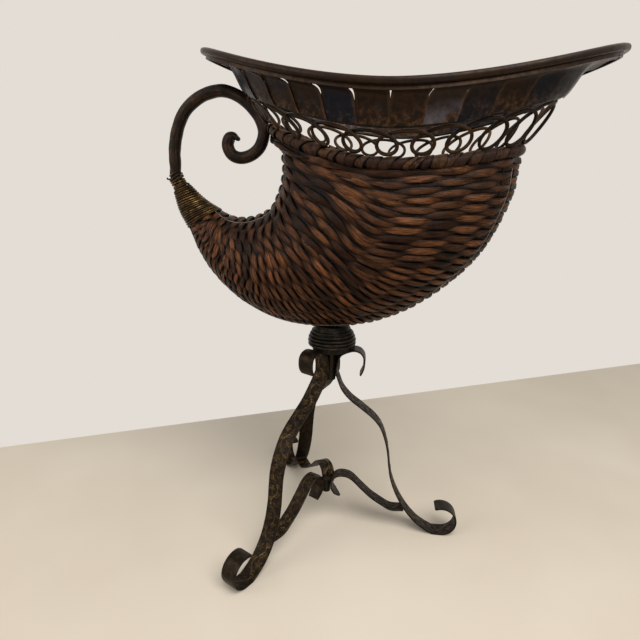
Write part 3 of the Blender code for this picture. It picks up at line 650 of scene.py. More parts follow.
def oval(turns, outer, inner, half_depth, sag):
    """Section of the horn, from its points on the outer and the inner edge."""
    beside = np.stack((0 * turns, half_depth * np.sin(turns), -sag * np.sin(turns) ** 2), -1)
    return (outer + inner) / 2 + np.cos(turns)[:, None] * ((outer - inner) / 2) + beside


def sections(turns):
    """Horn's outer surface at angles round the section: columns, rows from mouth to tail, 3."""
    turns = np.asarray(turns, float)
    rise = np.where(np.cos(turns) > 0, BORDER.front_rise, BORDER.tail_rise)
    climb = RISE_POWER * rise * np.abs(np.cos(turns)) ** (RISE_POWER - 1) * np.abs(np.sin(turns))
    edge = ring_point(BORDER, turns) + ring_outward(BORDER, turns) * HORN_WALL / 2
    below = (BORDER_THICKNESS / 2 + 2 * GAP) * np.hypot(1, climb / ring_speed(BORDER, turns))
    mouth = edge - below[:, None] * UP
    sag_all = (BORDER.front_rise + BORDER.tail_rise) / 2
    stations = [mouth - HORN_WALL * UP]
    for outer_turn, outer_share, inner_turn, inner_share, depth_share, sag_share in HORN_SHARES:
        outer = CENTRE + outer_share * REACH * fan(radians(outer_turn))
        inner = CENTRE + inner_share * THROAT_RADIUS * fan(radians(inner_turn))
        stations.append(oval(turns, outer, inner, depth_share * BORDER.half_depth, sag_share * sag_all))
    radius = ROD_DIAMETER / 2 + GAP + TAIL_WALL
    away = radius * fan(TAIL_END_TURN)
    stations.append(oval(turns, TAIL_MIDDLE + away, TAIL_MIDDLE - away, radius, 0))
    return np.concatenate((mouth[None], smooth(stations, HORN_STEPS))).transpose(1, 0, 2)


def pitch_at(lengths):
    """Pitch of the rows on the horn's outer edge, at lengths from mouth to tail."""
    return np.interp(lengths / lengths[-1], (0, BELLY_FROM), (MOUTH_PITCH, BELLY_PITCH))


def plan_rows(lengths):
    """Rows of the weave as (reach in stakes from the outer edge): full rings and pairs of short rows."""
    outer = lengths[0]
    inner = lengths[COLUMNS // 2]
    rings = round(inner[-1] / THROAT_PITCH)
    wanted = np.concatenate(([0], np.cumsum(np.diff(outer) / pitch_at(outer)[1:])))
    at_ring = np.interp(np.arange(rings + 1) / rings * inner[-1], inner, wanted)
    pairs = np.maximum.accumulate(np.maximum(0, np.round((at_ring - np.arange(rings + 1)) / 2)))
    reaches = []
    for ring in range(rings):
        reaches.append(STAKES)
        more = int(pairs[ring + 1] - pairs[ring])
        for pair in range(more):
            share = np.arccos(2 * (pair + 0.5) / more - 1) / pi
            stakes = int(np.clip(round(share * STAKES / 2) + RNG.integers(-1, 2), 3, STAKES // 2 - 1))
            index = len(reaches)
            reaches += [stakes + ((stakes + index + extra) % 2 == 0) for extra in range(2)]
    return np.array(reaches)


Horn = namedtuple("Horn", "grid normals lengths thinning turns outerness")


def horn_surface():
    """Grid of the horn's outer surface, with a column for each facet, and what is known at its points."""
    turns = full_turn(COLUMNS)
    grid = sections(turns)
    around = np.roll(grid, -1, axis=0) - np.roll(grid, 1, axis=0)
    normals = unit(np.cross(around, np.gradient(grid, axis=1)))
    if np.sum(normals * (grid - grid.mean(axis=0))) < 0:
        normals = -normals
    lengths = np.array([lengths_along(column) for column in grid])
    steps = grid.shape[1]
    thinning = 1 - (1 - TAIL_WALL / HORN_WALL) * np.arange(steps) / (steps - 1)
    return Horn(grid, normals, lengths, thinning, turns, (1 + np.cos(turns)) / 2)


Rows = namedtuple("Rows", "places outward pitch wall weights")


def place_rows(reaches, horn):
    """Where each column crosses the rows, with the rows' pitch and weight and the wall's share there."""
    away = np.minimum(np.arange(COLUMNS), COLUMNS - np.arange(COLUMNS))
    ending = (reaches[:, None] * STAKE_STEPS - away) / (1.5 * STAKE_STEPS)
    weights = np.where(reaches[:, None] >= STAKES, 1.0, ease(ending))
    total = weights.sum(axis=0)
    shares = (np.cumsum(weights, axis=0) - weights / 2) / total
    places, outward = np.zeros((2, len(reaches), COLUMNS, 3))
    pitch, wall = np.zeros((2, len(reaches), COLUMNS))
    for c in range(COLUMNS):
        length = horn.lengths[c]
        local = 1 + (pitch_at(length) / BELLY_PITCH - 1) * horn.outerness[c]
        dense = np.concatenate(([0], np.cumsum(np.diff(length) / local[1:])))
        spots = np.interp(shares[:, c], dense / dense[-1], length)
        places[:, c] = point_at(horn.grid[c], length, spots)
        outward[:, c] = point_at(horn.normals[c], length, spots)
        pitch[:, c] = np.interp(spots, length, local) * dense[-1] / total[c]
        wall[:, c] = np.interp(spots, length, horn.thinning)
    return Rows(places, unit(outward), pitch, wall, weights)


def stray(size):
    """Random line round the horn, with a knot at each stake."""
    return wander(COLUMNS, STAKES, size, True)


def weave_strands(shape, horn):
    """Rows of reed that pass over and under the stakes, each the other way from the row before."""
    reaches = plan_rows(horn.lengths)
    rows = place_rows(reaches, horn)
    outerness = horn.outerness
    ends = np.maximum(ease((outerness - 0.90) / 0.08), ease((0.06 - outerness) / 0.05))
    stain = 0.28 + 0.16 * ease(outerness / 0.45)
    phase = np.arange(COLUMNS) * pi / STAKE_STEPS
    full = reaches >= STAKES
    for j, reach in enumerate(reaches):
        outward, wall = rows.outward[j], rows.wall[j]
        sparse = full[:j].sum() > SPARSE_SHARE * full.sum()
        wave = (phase / 2 if sparse else phase) + pi * j
        over = signed_power(np.cos(wave), WAVE_POWER)
        side = np.cross(outward, along_path(rows.places[j], True))
        tilt = STRAND_TILT * np.sin(wave) + stray(0.08)
        cosine, sine = np.cos(tilt)[:, None], np.sin(tilt)[:, None]
        rolled = side * cosine + outward * sine
        lifted = outward * cosine - side * sine
        drift = stray(0.075) * rows.pitch[j]
        swing = (STRAND_SWING[0] + STRAND_SWING[1] * ends) * over * (1 + stray(0.13))
        height = HORN_WALL * wall * (swing - STRAND_SEAT[0] - STRAND_SEAT[1] * ends)
        path = rows.places[j] + outward * height[:, None] + side * drift[:, None]
        above = np.maximum(over, 0) ** 0.6
        below = np.maximum(-over, 0)
        fill = 1.12 + 0.30 * above * (1 - ends) - 0.02 * above * ends + (0.30 + 0.35 * outerness) * below
        fill = fill * (1 + stray(0.07))
        wide = rows.pitch[j] / 2 * fill * (0.4 + 0.6 * rows.weights[j])
        thick = STRAND_THICKNESS * (1 + 0.25 * ends) * wall ** 0.7
        tint = np.clip(stain + RNG.normal(0, 0.11) + stray(0.17), 0, 1)
        keep = np.arange(COLUMNS)
        if not full[j]:
            keep = np.arange(-reach * STAKE_STEPS, reach * STAKE_STEPS + 1) % COLUMNS
        # Painted shade: a strand is painted darker where it dips under a stake, and toward its edges.
        shape.sweep(
            path[keep], rolled[keep], lifted[keep], wide[keep], thick[keep],
            closed=full[j], tint=tint[keep], wear=(0.64 + 0.36 * over)[keep], shade=0.85,
        )


def weave_stakes(shape, horn):
    """Stakes that the strands pass over and under; every other one ends before the tail."""
    steps = len(horn.thinning)
    for i in range(STAKES):
        c = i * STAKE_STEPS
        keep = np.arange(1, steps if i % 2 == 0 else int(steps * SPARSE_SHARE), 2)
        thinning = horn.thinning[keep]
        normals = horn.normals[c, keep]
        path = horn.grid[c, keep] - normals * (HORN_WALL / 2 * thinning)[:, None]
        side = unit(np.cross(normals, along_path(path)))
        # Painted shade: the stakes, which lie under the strands, get a low value that paints them dark.
        shape.sweep(
            path, side, normals, STAKE_WIDTH / 2 * (0.55 + 0.45 * thinning), STAKE_THICKNESS / 2 * thinning,
            sides=6, tint=0.3, wear=0.18,
        )


def build_horn_wires(horn):
    """Thin light wires that run down the horn near its two edges."""
    wires = Shape()
    for turn in CORD_TURNS:
        column = sections([turn % (2 * pi)])[0]
        near = sections([(turn + 0.02) % (2 * pi)])[0]
        along = along_path(column)
        out = unit(np.cross(near - column, along))
        if np.sum(out * (column - horn.grid.mean(axis=0))) < 0:
            out = -out
        keep = np.arange(3, len(column) - 20)
        side = np.cross(out, along)[keep]
        path = column[keep] + out[keep] * CORD_RADIUS / 2
        wires.sweep(path, side, out[keep], CORD_RADIUS, CORD_RADIUS, sides=6, power=1)
    wires.build("horn_wires", CORD_FINISH, ["basket_body"])


def build_horn():
    horn = horn_surface()
    shape = Shape()
    weave_strands(shape, horn)
    weave_stakes(shape, horn)
    shape.build("woven_horn", WEAVE_FINISH, ["basket_body"])
    build_horn_wires(horn)


def build_border():
    """Rim bound with flat reed: a core, and bands that each lap over the next."""
    table = outline_table(BORDER)
    radius = BORDER_THICKNESS / 2
    shape = Shape()
    # Painted shade: the core keeps a value of 0, which paints it dark where it shows under the bands.
    shape.hoop(BORDER, radius * 0.8, 200, 0.1)
    widths = RNG.uniform(0.55, 1.45, BAND_COUNT)
    widths *= table[1][-1] / widths.sum()
    starts = np.concatenate(([0], np.cumsum(widths)))[:-1]
    turn = full_turn(BAND_SIDES)[:, None]
    across = np.linspace(-1, 1, BAND_STEPS)
    rim = np.concatenate((across, across[::-1]))
    inside = np.repeat((0.0, 1.0), BAND_STEPS)
    for start, width in zip(starts, widths):
        skew = BAND_SKEW * np.sin(turn - 0.6) * RNG.uniform(0.2, 1.6)
        high = radius * RNG.uniform(0.88, 1.05)
        loose = wander(BAND_SIDES, 5, 0.00028, True)[:, None]
        place = start + width * 0.5 + skew + rim * width * 0.51
        angle = angle_at(table, place)
        level = high + loose + 0.00050 * rim + 0.00040 * (1 - rim ** 4) - BAND_THICKNESS * inside
        outward = ring_outward(BORDER, angle) * (level * np.cos(turn))[..., None]
        points = ring_point(BORDER, angle) + outward
        points[..., 2] += level * np.sin(turn)
        lay = stacked(turn * radius + RNG.uniform(0, 5), place - start, inside * 0.001)
        tint = np.clip(RNG.normal(0.45, 0.2) + wander(BAND_SIDES, 4, 0.1, True), 0, 1)
        # Painted shade: each band is painted dark toward its edges, where it laps its neighbours.
        shape.strip(points, lay, tint[:, None], 1 - 0.9 * np.abs(rim) ** 7, True)
    shape.build("bound_rim", BORDER_FINISH, ["border_ring"])


def build_loops():
    """One reed that loops between the border and the hoop."""
    middle = blend(BORDER, HOOP, 0.5)
    table = outline_table(middle)
    pitch = table[1][-1] / LOOP_COUNT
    per_loop = 48
    turn = np.arange(LOOP_COUNT * per_loop) * 2 * pi / per_loop
    angle = angle_at(table, pitch * (turn / (2 * pi) + LOOP_SWING_SHARE * np.sin(turn)))
    low = ring_point(BORDER, angle)
    climb = ring_point(HOOP, angle) - low
    bottom = BORDER_THICKNESS / 2 + 3 * GAP + LOOP_REED / 2
    top = np.linalg.norm(climb, axis=1) - HOOP_WIRE / 2 - 3 * GAP - LOOP_REED / 2
    height = (bottom + top) / 2 + (top - bottom) / 2 * np.cos(turn)
    outward = unit(np.cross(ring_along(middle, angle), climb))
    loose = wander(len(turn), LOOP_COUNT * 3, 0.0003, True)
    path = low + unit(climb) * (height + loose)[:, None]
    path = path + outward * (LOOP_STAND_OFF * np.sin(turn))[:, None]
    tint = np.clip(0.5 + wander(len(turn), LOOP_COUNT * 2, 0.22, True), 0, 1)
    wide = LOOP_REED / 2 * (1.13 + wander(len(turn), LOOP_COUNT * 4, 0.06, True))
    shape = Shape()
    shape.strand(path, outward, wide, 0.92, closed=True, power=0.9, sides=10, tint=tint, wear=0.7)
    shape.build("looped_reed", LOOP_FINISH, ["loop_course"])


def build_hoop():
    shape = Shape()
    shape.hoop(HOOP, HOOP_WIRE / 2, 220)
    shape.build("wire_hoop", WIRE_FINISH, ["collar_hoop"])


def collar_point(angle, out, up):
    low = ring_point(COLLAR_FOOT, angle)
    high = ring_point(COLLAR_HEAD, angle)
    spot = lerp(low, high, out[..., None])
    spot[..., 2] = lerp(low[..., 2], high[..., 2], up)
    return spot


def build_staves():
    """Sheet strips from the hoop to the lip, each leaning over its neighbour and trimmed a little askew."""
    table = outline_table(COLLAR_FOOT)
    pitch = table[1][-1] / STAVE_COUNT
    half_width = (pitch + STAVE_OVERLAP) / 2
    out, up = np.clip(smooth(BELL_SHARES, 5), 0, 1).T[..., None]
    side = np.linspace(-1, 1, 11)
    rubbed = bump(1 - np.abs(side), 0.05) * 0.35
    wear = np.concatenate((rubbed, 0 * rubbed))
    for k in range(STAVE_COUNT):
        middle = float(angle_at(table, pitch * (k + 0.5)))
        trim = RNG.choice((0.0001, 0.0006, 0.0014))
        begin = RNG.uniform(0.35, 0.72)
        cut = trim * ease((up - begin) / (0.95 - begin)) / half_width
        tilt = RNG.normal(0, 0.02)
        across = side * (1 - np.where(side < 0, 1, 0.25) * cut) + tilt * (up - 0.5)
        speeds = ring_speed(blend(COLLAR_FOOT, COLLAR_HEAD, out), middle)
        widen = 1 + STAVE_WIDENING * (speeds / ring_speed(COLLAR_FOOT, middle) - 1)
        angle = middle + across * half_width * (widen / speeds)
        base = collar_point(angle, out, up)
        normal = unit(np.cross(ring_along(COLLAR_FOOT, angle), unit(np.gradient(base, axis=0))))
        cup = 0.00035 * (across**2 - 0.4) + RNG.normal(0, 0.00008)
        face = base + normal * (STAVE_LEAN * across + cup)[..., None]
        tint = RNG.choice((0.12, 0.35, 0.62, 0.85), p=(0.22, 0.25, 0.3, 0.23))
        # The one pale stave: its tint marks it for a painted highlight, a pale glint on the lower part of
        # its face
        if abs((middle % (2 * pi)) - radians(286)) < radians(6):
            tint = 0.98
        shape = Shape()
        lay = stacked(doubled(angle), doubled(across), up)
        shape.strip(sheet(face, normal * STAVE_THICKNESS / 2), lay, tint, wear, False)
        node = f"stave_{k + 1:02d}"
        shape.build("sheet_" + node, SHEET_FINISH, [node])


def build_lip():
    """Rolled lip, with the skirt of sheet that folds down from it over the staves' tops."""
    angles = full_turn(240)
    turn = full_turn(20, 0.5)
    across = signed_power(np.cos(turn), 0.75) * LIP_DEPTH / 2
    points = ring_point(LIP, angles)[:, None] + ring_outward(LIP, angles)[:, None] * across[:, None]
    points[..., 2] += signed_power(np.sin(turn), 0.75) * LIP_THICKNESS / 2
    shape = Shape()
    # Painted highlight: a lighter line along the lip's top, carried in the wear-and-light value.
    painted_glint_line = bump(turn - radians(105), 0.5) * 0.9
    shape.strip(points, stacked(angles[:, None], across, 0.9), 0.55, painted_glint_line, True)
    share = np.linspace(0, 1, 7)
    out = 1.0 - 0.06 * share
    base = collar_point(angles[:, None], out, np.interp(out, *zip(*BELL_SHARES)))
    normal = unit(np.cross(ring_along(LIP, angles[:, None]), unit(-np.gradient(base, axis=1))))
    base = base + normal * 0.0015
    base[:, 0] = ring_point(LIP, angles) - LIP_THICKNESS * 0.25 * UP
    level = np.concatenate((0.95 - 0.1 * share, 0.85 + 0.1 * share))
    shape.strip(sheet(base, normal * 0.0003), stacked(angles[:, None], level, level), 0.6, 0.1, True)
    shape.build("rolled_lip", SHEET_FINISH, ["rim_lip"])


def rod_points():
    """Rod's middle line, with the middles of the horn's sections and the lengths along them."""
    middles = sections(full_turn(30)).mean(axis=0)
    lengths = lengths_along(middles)
    socket = [point_at(middles, lengths, lengths[-1] - ROD_IN_TAIL * share) for share in (1, 0.5, 0)]
    run = TAIL_MIDDLE + ROD_RUN * fan(TAIL_END_TURN - pi / 2)
    high = ring_point(HOOP, pi)[2]
    far = min(
        ring_point(BORDER, pi)[0] - (BORDER_THICKNESS + ROD_DIAMETER) / 2 - GAP,
        run[0] + (ring_point(HOOP, pi)[0] - run[0]) / HOOP_PASS_SHARE,
    )
    scroll = [
        np.array((run[0] + across * (far - run[0]), 0, run[2] + up * (high - run[2])))
        for across, up in SCROLL_SHARES
    ]
    return smooth(socket + [run] + scroll, ROD_STEPS), middles, lengths


def build_rod():
    count = 300
    path = resample(rod_points()[0], count)
    share = np.linspace(0, 1, count)
    thin = 1 - 0.62 * ease((share - 0.965) / 0.035)
    uneven = 1 + wander(count, 40, 0.012)
    radius = ROD_DIAMETER / 2 * (1.05 + 0.09 * ease((share - 0.14) / 0.06)) * np.minimum(uneven, 1.02)
    shape = Shape()
    normal = np.cross(along_path(path), BACK)
    shape.sweep(path, BACK, normal, radius * (0.6 + 0.4 * thin), radius * thin, sides=20, power=0.94)
    shape.build("scroll_bar", ROD_FINISH, ["scroll_rod"])


def wound_paths(turn, past):
    """Winding's middles, ways out and radii at lengths past the tail's end: on the horn, then on the rod."""
    rod, middles, lengths = rod_points()
    rows = np.interp(lengths[-1] + past, lengths, np.arange(len(middles)))
    low = np.minimum(rows.astype(int), len(middles) - 2)
    share = (rows - low)[:, None]
    middle = lerp(middles[low], middles[low + 1], share)
    skins = sections(full_turn(72))
    place = turn / (2 * pi) % 1 * len(skins)
    columns = [(place.astype(int) + k) % len(skins) for k in range(2)]
    near, far = (lerp(skins[column, low], skins[column, low + 1], share) for column in columns)
    outward = lerp(near, far, (place % 1)[:, None]) - middle
    radius = np.linalg.norm(outward, axis=1, keepdims=True) + WINDING_WIRE / 2
    yield middle, unit(outward), radius
    middle = on_rod(rod, past)
    ahead = on_rod(rod, past + 0.003) - middle
    outward = unit(stacked(-ahead[:, 2], 0, ahead[:, 0])) * np.cos(turn)[:, None]
    wide = ROD_DIAMETER / 2 + GAP + TAIL_WALL + WINDING_WIRE / 2
    radius = wide - (wide - ROD_DIAMETER / 2 - WINDING_WIRE * 0.75) * ease(past / 0.004)
    yield middle, outward + BACK * np.sin(turn)[:, None], radius[:, None]


def on_rod(rod, past):
    """Points of the rod's middle line at lengths past the tail's end."""
    beyond = rod[2 * ROD_STEPS:]
    return point_at(beyond, lengths_along(beyond), past)


def add_loose_ends(shape):
    """Three turns at the top of the winding whose ends stand off the rod."""
    rod = rod_points()[0]
    tip = on_rod(rod, WINDING_ON_ROD - 0.001)
    up = unit(on_rod(rod, WINDING_ON_ROD + 0.002) - tip)
    across = np.cross(BACK, up)
    thin = WINDING_WIRE * 0.42
    t = np.linspace(0, 1, 40)
    for k, (level, start, sweep_by, flare) in enumerate(LOOSE_ENDS):
        angle = start + sweep_by * t
        radius = ROD_DIAMETER / 2 + WINDING_WIRE * 0.8 + flare * ease((t - 0.8) / 0.2) * 1.6
        radius = radius + 0.0005 * np.sin(9 * t + k)
        line = tip + up * (level + 0.0014 * np.sin(angle + k))[:, None]
        line = line + across * (radius * np.cos(angle))[:, None] + BACK * (radius * np.sin(angle))[:, None]
        forward = along_path(line)
        beside = unit(np.cross(forward, up))
        shape.sweep(line, beside, np.cross(beside, forward), thin, thin, power=1)


def build_winding():
    """Brass wire bound over the tail, finer than the CAD's: more turns, an uneven lay and loose ends."""
    per_turn = 30
    steps = np.arange(WINDING_TURNS * per_turn + 1)
    uneven = wander(len(steps), WINDING_TURNS * 2, 0.00022) * (steps / steps[-1] < 0.98)
    past = WINDING_LENGTH * steps / steps[-1] - (WINDING_LENGTH - WINDING_ON_ROD) + uneven
    pairs = zip(*wound_paths(2 * pi * steps / per_turn, past))
    middle, outward, radius = (np.where((past < 0)[:, None], *pair) for pair in pairs)
    shape = Shape()
    shape.strand(middle + outward * radius, outward, WINDING_WIRE / 2)
    add_loose_ends(shape)
    shape.build("bound_tail", BRASS_FINISH, ["tail_winding"])


def build_coil():
    """Wire wound on the neck's barrel from the hooks up."""
    per_turn = 56
    neck = NECK_DIAMETER / 2
    inset = COIL_WIRE / 2 + GAP
    low = STAND_HEIGHT - HOOK_RISE + GAP + inset
    rise = COIL_HEIGHT - 2 * inset
    bulge = (COIL_DIAMETER - COIL_WIRE) / 2 - neck - inset
    outline = smooth(COIL_SHARES, 6)[::-1]
    steps = np.arange(COIL_TURNS * per_turn + 1)
    height = low + rise * steps / steps[-1]
    radius = np.interp(height, low + outline[:, 1] * rise, neck + inset + outline[:, 0] * bulge)
    turn = 2 * pi * steps / per_turn
    path = stacked(radius * np.cos(turn), radius * np.sin(turn), height)
    shape = Shape()
    shape.strand(path, stacked(np.cos(turn), np.sin(turn), 0), COIL_WIRE / 2, sides=12)
    shape.build("neck_wire", WIRE_FINISH, ["neck_coil"], STAND)


def root_radius(width):
    """Least distance from the axis at which straps of a width stand clear of each other."""
    turns = sorted(leg.azimuth for leg in LEGS)
    half_turn = min(b - a for a, b in zip(turns, turns[1:] + [turns[0] + 2 * pi])) / 2
    return width / 2 / tan(half_turn) + STRAP_THICKNESS / 2 + GAP / sin(half_turn)


LEG_ROOT = root_radius(STRAP_WIDTH)
STRETCHER_ROOT = root_radius(STRETCHER_WIDTH)


def leg_bow(leg, share):
    if share > 1:
        return 0
    return leg.knee_bow * sin(pi * share) ** 2 + leg.neck_bow * sin(pi * share**NECK_BOW_POWER) ** 2


def leg_path(leg):
    """Middle line of a leg as (radius, height), from its hook to its foot's scroll."""
    half = STRAP_THICKNESS / 2
    crown = STAND_HEIGHT - HOOK_RISE - half
    root_top, root_low = (share * STAND_HEIGHT for share in LEG_ROOT_SHARES)
    line = []
    for out, up in LEG_HOOK_SHARES:
        drop = (1 - up) * (leg.hook_share if out > LEG_CROWN_SHARE else 1)
        line.append((out * FOOT_SPREAD, crown - drop * (crown - root_top)))
    line += [(LEG_ROOT, root_top), (LEG_ROOT, root_low)]
    line += [(out * FOOT_SPREAD, half + up * (STAND_HEIGHT - half)) for out, up in LEG_SHANK_SHARES]
    path = []
    for radius, height in smooth(line + [(LEG_FLAT_SHARE * FOOT_SPREAD, half)], 10):
        path.append((max(radius + leg_bow(leg, height / root_low), LEG_ROOT), max(height, half)))
    centre = FOOT_SPREAD - half - FOOT_SCROLL_RADIUS
    for turn in np.linspace(-pi / 2, FOOT_SCROLL_END, FOOT_SCROLL_STEPS):
        path.append((centre + FOOT_SCROLL_RADIUS * cos(turn), half + FOOT_SCROLL_RADIUS * (1 + sin(turn))))
    return np.array(path)


def stretcher_path(leg):
    """Middle line of a stretcher as (radius, height), from its leg to its tip under the hub."""
    line = leg_path(leg)[:-FOOT_SCROLL_STEPS]
    shank = np.array([p for p in line if p[0] > STRETCHER_ROOT * 2 and p[1] < STAND_HEIGHT / 2])[::-1]
    seat = float(np.interp(STRETCHER_END_HEIGHT, shank[:, 1], shank[:, 0]))
    above = float(np.interp(STRETCHER_END_HEIGHT + STRETCHER_WIDTH / 2, shank[:, 1], shank[:, 0]))
    lean = atan2(seat - above, STRETCHER_WIDTH / 2)
    points = [(out * FOOT_SPREAD, up * STAND_HEIGHT) for out, up in STRETCHER_SHARES]
    climb = atan2(points[0][1] - STRETCHER_END_HEIGHT, seat - points[0][0])
    skew = abs(sin(lean - climb))
    stand_off = (STRAP_THICKNESS * (1 + skew) / 2 + GAP) / cos(lean - climb)
    butt = (seat - stand_off * cos(climb), STRETCHER_END_HEIGHT + stand_off * sin(climb))
    points += [(STRETCHER_ROOT, up * STAND_HEIGHT) for up in STRETCHER_ROOT_SHARES]
    points += [(out * FOOT_SPREAD, up * STAND_HEIGHT) for out, up in STRETCHER_TIP_SHARES]
    curve = smooth([butt] + points, 10)
    curve[:, 0] = np.maximum(curve[:, 0], STRETCHER_ROOT)
    return curve


def leaf(ahead, beside):
    """Height of a five-lobed leaf with veins."""
    angle = np.arctan2(beside, ahead)
    share = np.hypot(ahead, beside) / (LEAF_REACH * (0.70 + 0.30 * np.cos(5 * angle + 0.6)))
    height = ease((1 - share) * 3.5) * (0.55 + 0.45 * bump(share - 0.72, 0.17))
    return height * (1 - 0.5 * bump(np.sin(2.5 * angle + 0.3), 0.16))


def tendril(ahead, beside):
    """Height of a tendril that curls inward."""
    curl = TENDRIL_RADIUS - TENDRIL_SHRINK * (np.arctan2(beside, ahead) + pi)
    return 0.85 * bump(np.hypot(ahead, beside) - curl, TENDRIL_HALF)


def petal(ahead, beside, half_length):
    """Height of a petal with a vein."""
    share = 1 - (ahead / half_length) ** 2 - (beside / (0.45 * half_length)) ** 2
    vein = 1 - 0.45 * bump(beside, VEIN_HALF)
    return ease(share * 1.8) * vein * (0.55 + 0.45 * bump(share - 0.45, 0.22))


def vine(along, across, width, shift):
    """Height of the embossed vine, 0 to 1: a waving stem, leaves, tendrils, petals and a beaded edge."""
    size = width / STRAP_WIDTH
    spot = (along + shift) / size
    aside = across / size
    phase = 2 * pi * spot / VINE_WAVE
    slope = 2 * pi / VINE_WAVE * VINE_SWING * np.cos(phase)
    height = 0.9 * bump((aside - VINE_SWING * np.sin(phase)) / np.sqrt(1 + slope**2), STEM_HALF)
    cell = np.floor(spot / (VINE_WAVE / 2))
    ahead = spot - (cell + 0.5) * VINE_WAVE / 2
    beside = aside * np.where(cell % 2 == 0, -1, 1)
    height = np.maximum(height, leaf(ahead, beside - LEAF_ASIDE))
    height = np.maximum(height, tendril(ahead - TENDRIL_PLACE[0], beside - TENDRIL_PLACE[1]))
    for lean, place, off, half_length in PETALS:
        u = (ahead - place) * cos(lean) + (beside - off) * sin(lean)
        v = (beside - off) * cos(lean) - (ahead - place) * sin(lean)
        height = np.maximum(height, petal(u, v, half_length))
    return np.maximum(height, 0.55 * bump(width / 2 - np.abs(across) - 0.0006, 0.0005))


def build_strap(name, leg, path, width, tip, shift, face):
    """Embossed strap along a path; tip is the share of its width at its end, face the side of the vine."""
    count = int(lengths_along(path)[-1] / STRAP_STEP)
    line = resample(path, count)
    along = along_path(line)
    normal = np.stack((along[:, 1], -along[:, 0]), -1) * face
    lengths = lengths_along(line)
    rest = lengths[-1] - lengths
    wide = np.full(count, width / 2)
    if tip < 1:
        wide = wide * np.interp(rest, (0, 0.003, 0.009), (tip, 0.45 + 0.55 * tip, 1.0))
    else:
        for from_end in (lengths, rest):
            wide = wide * np.interp(from_end, (0, 0.0012, 0.003), (0.86, 0.96, 1.0))
    across = np.linspace(-1, 1, STRAP_COLUMNS)
    relief = vine(lengths[:, None], across * width / 2, width, shift)
    rounding = STRAP_ROUNDING * np.abs(across) ** 8
    wobble = STRAP_WOBBLE * np.sin(lengths * 310 + shift * 900)[:, None] * np.cos(across * 2.2)
    half = STRAP_THICKNESS / 2
    outer = half - RELIEF_DEPTH + RELIEF_HEIGHT * relief - rounding + wobble
    inner = np.broadcast_to(0.0001 - half + rounding, outer.shape)
    level = np.concatenate((outer, inner[:, ::-1]), axis=1)
    radial, height = (line[:, k, None] + normal[:, k, None] * level for k in range(2))
    beside = doubled(wide[:, None] * across)
    cosine, sine = cos(leg.azimuth), sin(leg.azimuth)
    points = np.stack((
        radial * cosine - beside * sine + leg.aside * sine,
        radial * sine + beside * cosine - leg.aside * cosine,
        height,
    ), -1)
    wear = np.concatenate((relief, np.full_like(relief, 0.36)), axis=1)
    shape = Shape()
    shape.strip(points, stacked(lengths[:, None], beside, 0), 0.5, wear, False)
    finish = GREY_STRAP_FINISH if leg.name == "right" else STRAP_FINISH
    shape.build("iron_" + name, finish, [name], STAND)


def build_straps():
    for k, leg in enumerate(LEGS):
        tip = 0.15 if leg.name == "right" else 0.85
        build_strap("leg_" + leg.name, leg, leg_path(leg), STRAP_WIDTH, 1, 0.011 * k, -1)
        build_strap("stretcher_" + leg.name, leg, stretcher_path(leg), STRETCHER_WIDTH, tip, 0.007 * k, 1)


def dress_cad_nodes():
    """Materials of the solids that show as they are."""
    finishes = {
        "leg_post": WIRE_FINISH, "hub_pin": WIRE_FINISH, "neck_core": WIRE_FINISH,
        "inner_washer": STEEL_FINISH, "basket_bolt": STEEL_FINISH,
    }
    for name, finish in finishes.items():
        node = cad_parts[name]
        node.data.materials.clear()
        node.data.materials.append(finish)


def floor_point(pixel):
    """Point of the floor that a pixel of the photograph shows."""
    matrix = bpy.context.scene.camera.matrix_world
    middle = PHOTO_SIZE / 2
    focal = CAMERA_LENS / SENSOR_WIDTH * PHOTO_SIZE
    ray = matrix.to_3x3() @ Vector(((pixel[0] - middle) / focal, (middle - pixel[1]) / focal, -1))
    return matrix.translation - ray * matrix.translation.z / ray.z


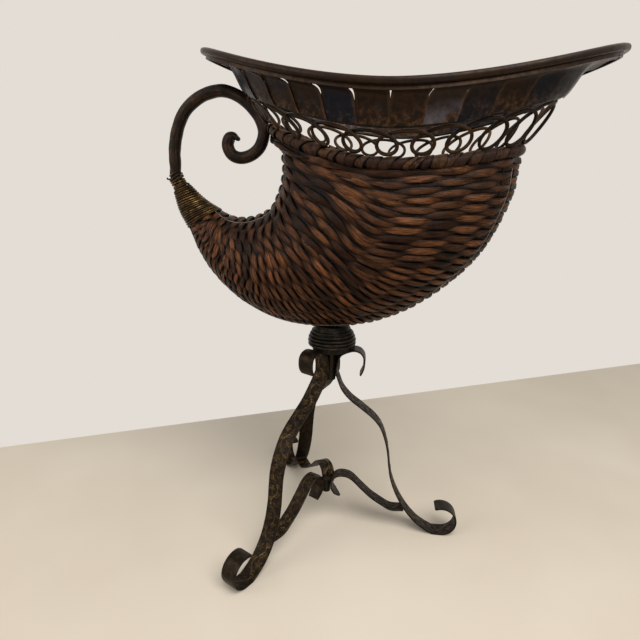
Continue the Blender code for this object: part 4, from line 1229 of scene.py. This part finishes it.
def build_floor():
    """Pale cloth, whose far edge lies where the photograph shows the table's."""
    t = Tree(bpy.data.materials.new("floor_cloth"))
    where = t.place()
    base = t.mix(t.span(t.noise(where, 3.0), 0.35, 0.65), "cbc0b0", "d4cabb")
    cloth = t.finish(base, 0.85, t.noise(where, 420.0, 2.0), 0.0003, 0.3)
    left, right = (floor_point(pixel) for pixel in TABLE_EDGE_PIXELS)
    run = (right - left).normalized() * FLOOR_REACH
    near = Vector((0, FLOOR_REACH, 0))
    corners = [left - run, right + run, right + run - near, left - run - near]
    mesh = bpy.data.meshes.new("floor")
    mesh.from_pydata(corners, [], [(3, 2, 1, 0)])
    mesh.materials.append(cloth)
    floor = bpy.data.objects.new("floor", mesh)
    bpy.context.scene.collection.objects.link(floor)


def light_up():
    """Plain light; camera, mirrored and transmitted rays see the wall's colour in the world."""
    world = bpy.data.worlds.new("studio")
    bpy.context.scene.world = world
    t = Tree(world)
    nodes = t.tree.nodes
    t.set(nodes["Background"].inputs["Color"], (1.0, 0.985, 0.96, 1))
    t.set(nodes["Background"].inputs["Strength"], 0.34)
    wall = t.node("Background", {"Color": "e3ddd5", "Strength": 1.0})
    rays = t.node("LightPath", {}).node.outputs
    mirrored = t.math("MAXIMUM", rays["Is Glossy Ray"], rays["Is Transmission Ray"])
    seen = t.math("MAXIMUM", rays["Is Camera Ray"], mirrored)
    mixed = t.node("MixShader", {0: seen, 1: nodes["Background"].outputs[0], 2: wall})
    t.set(nodes["World Output"].inputs["Surface"], mixed)
    for name, place, size, power in (
        ("key", (0.55, -0.80, 1.5), 1.30, 30), ("fill", (-1.2, -0.9, 0.9), 1.2, 9),
    ):
        lamp = bpy.data.lights.new(name, "AREA")
        lamp.size = size
        lamp.energy = power
        lamp.color = (1.0, 0.97, 0.92)
        made = bpy.data.objects.new(name, lamp)
        made.location = place
        made.rotation_euler = (Vector((0, 0, 0.3)) - Vector(place)).to_track_quat("-Z", "Y").to_euler()
        bpy.context.scene.collection.objects.link(made)


def place_camera():
    """Camera that sees the part as the photograph does."""
    camera = bpy.data.objects.new("camera", bpy.data.cameras.new("camera"))
    bpy.context.scene.collection.objects.link(camera)
    matrix = Matrix.Translation(Vector(CAMERA_PLACE) + AXIS)
    for axis, turn in CAMERA_TURNS:
        matrix = matrix @ Matrix.Rotation(radians(turn), 4, axis)
    camera.matrix_world = matrix
    camera.data.sensor_width = SENSOR_WIDTH
    camera.data.lens = CAMERA_LENS
    camera.data.clip_start = 0.01
    bpy.context.scene.camera = camera


place_camera()
light_up()
build_floor()
build_horn()
build_border()
build_loops()
build_hoop()
build_staves()
build_lip()
build_rod()
build_winding()
build_coil()
build_straps()
dress_cad_nodes()
bpy.context.scene.view_settings.view_transform = "Standard"
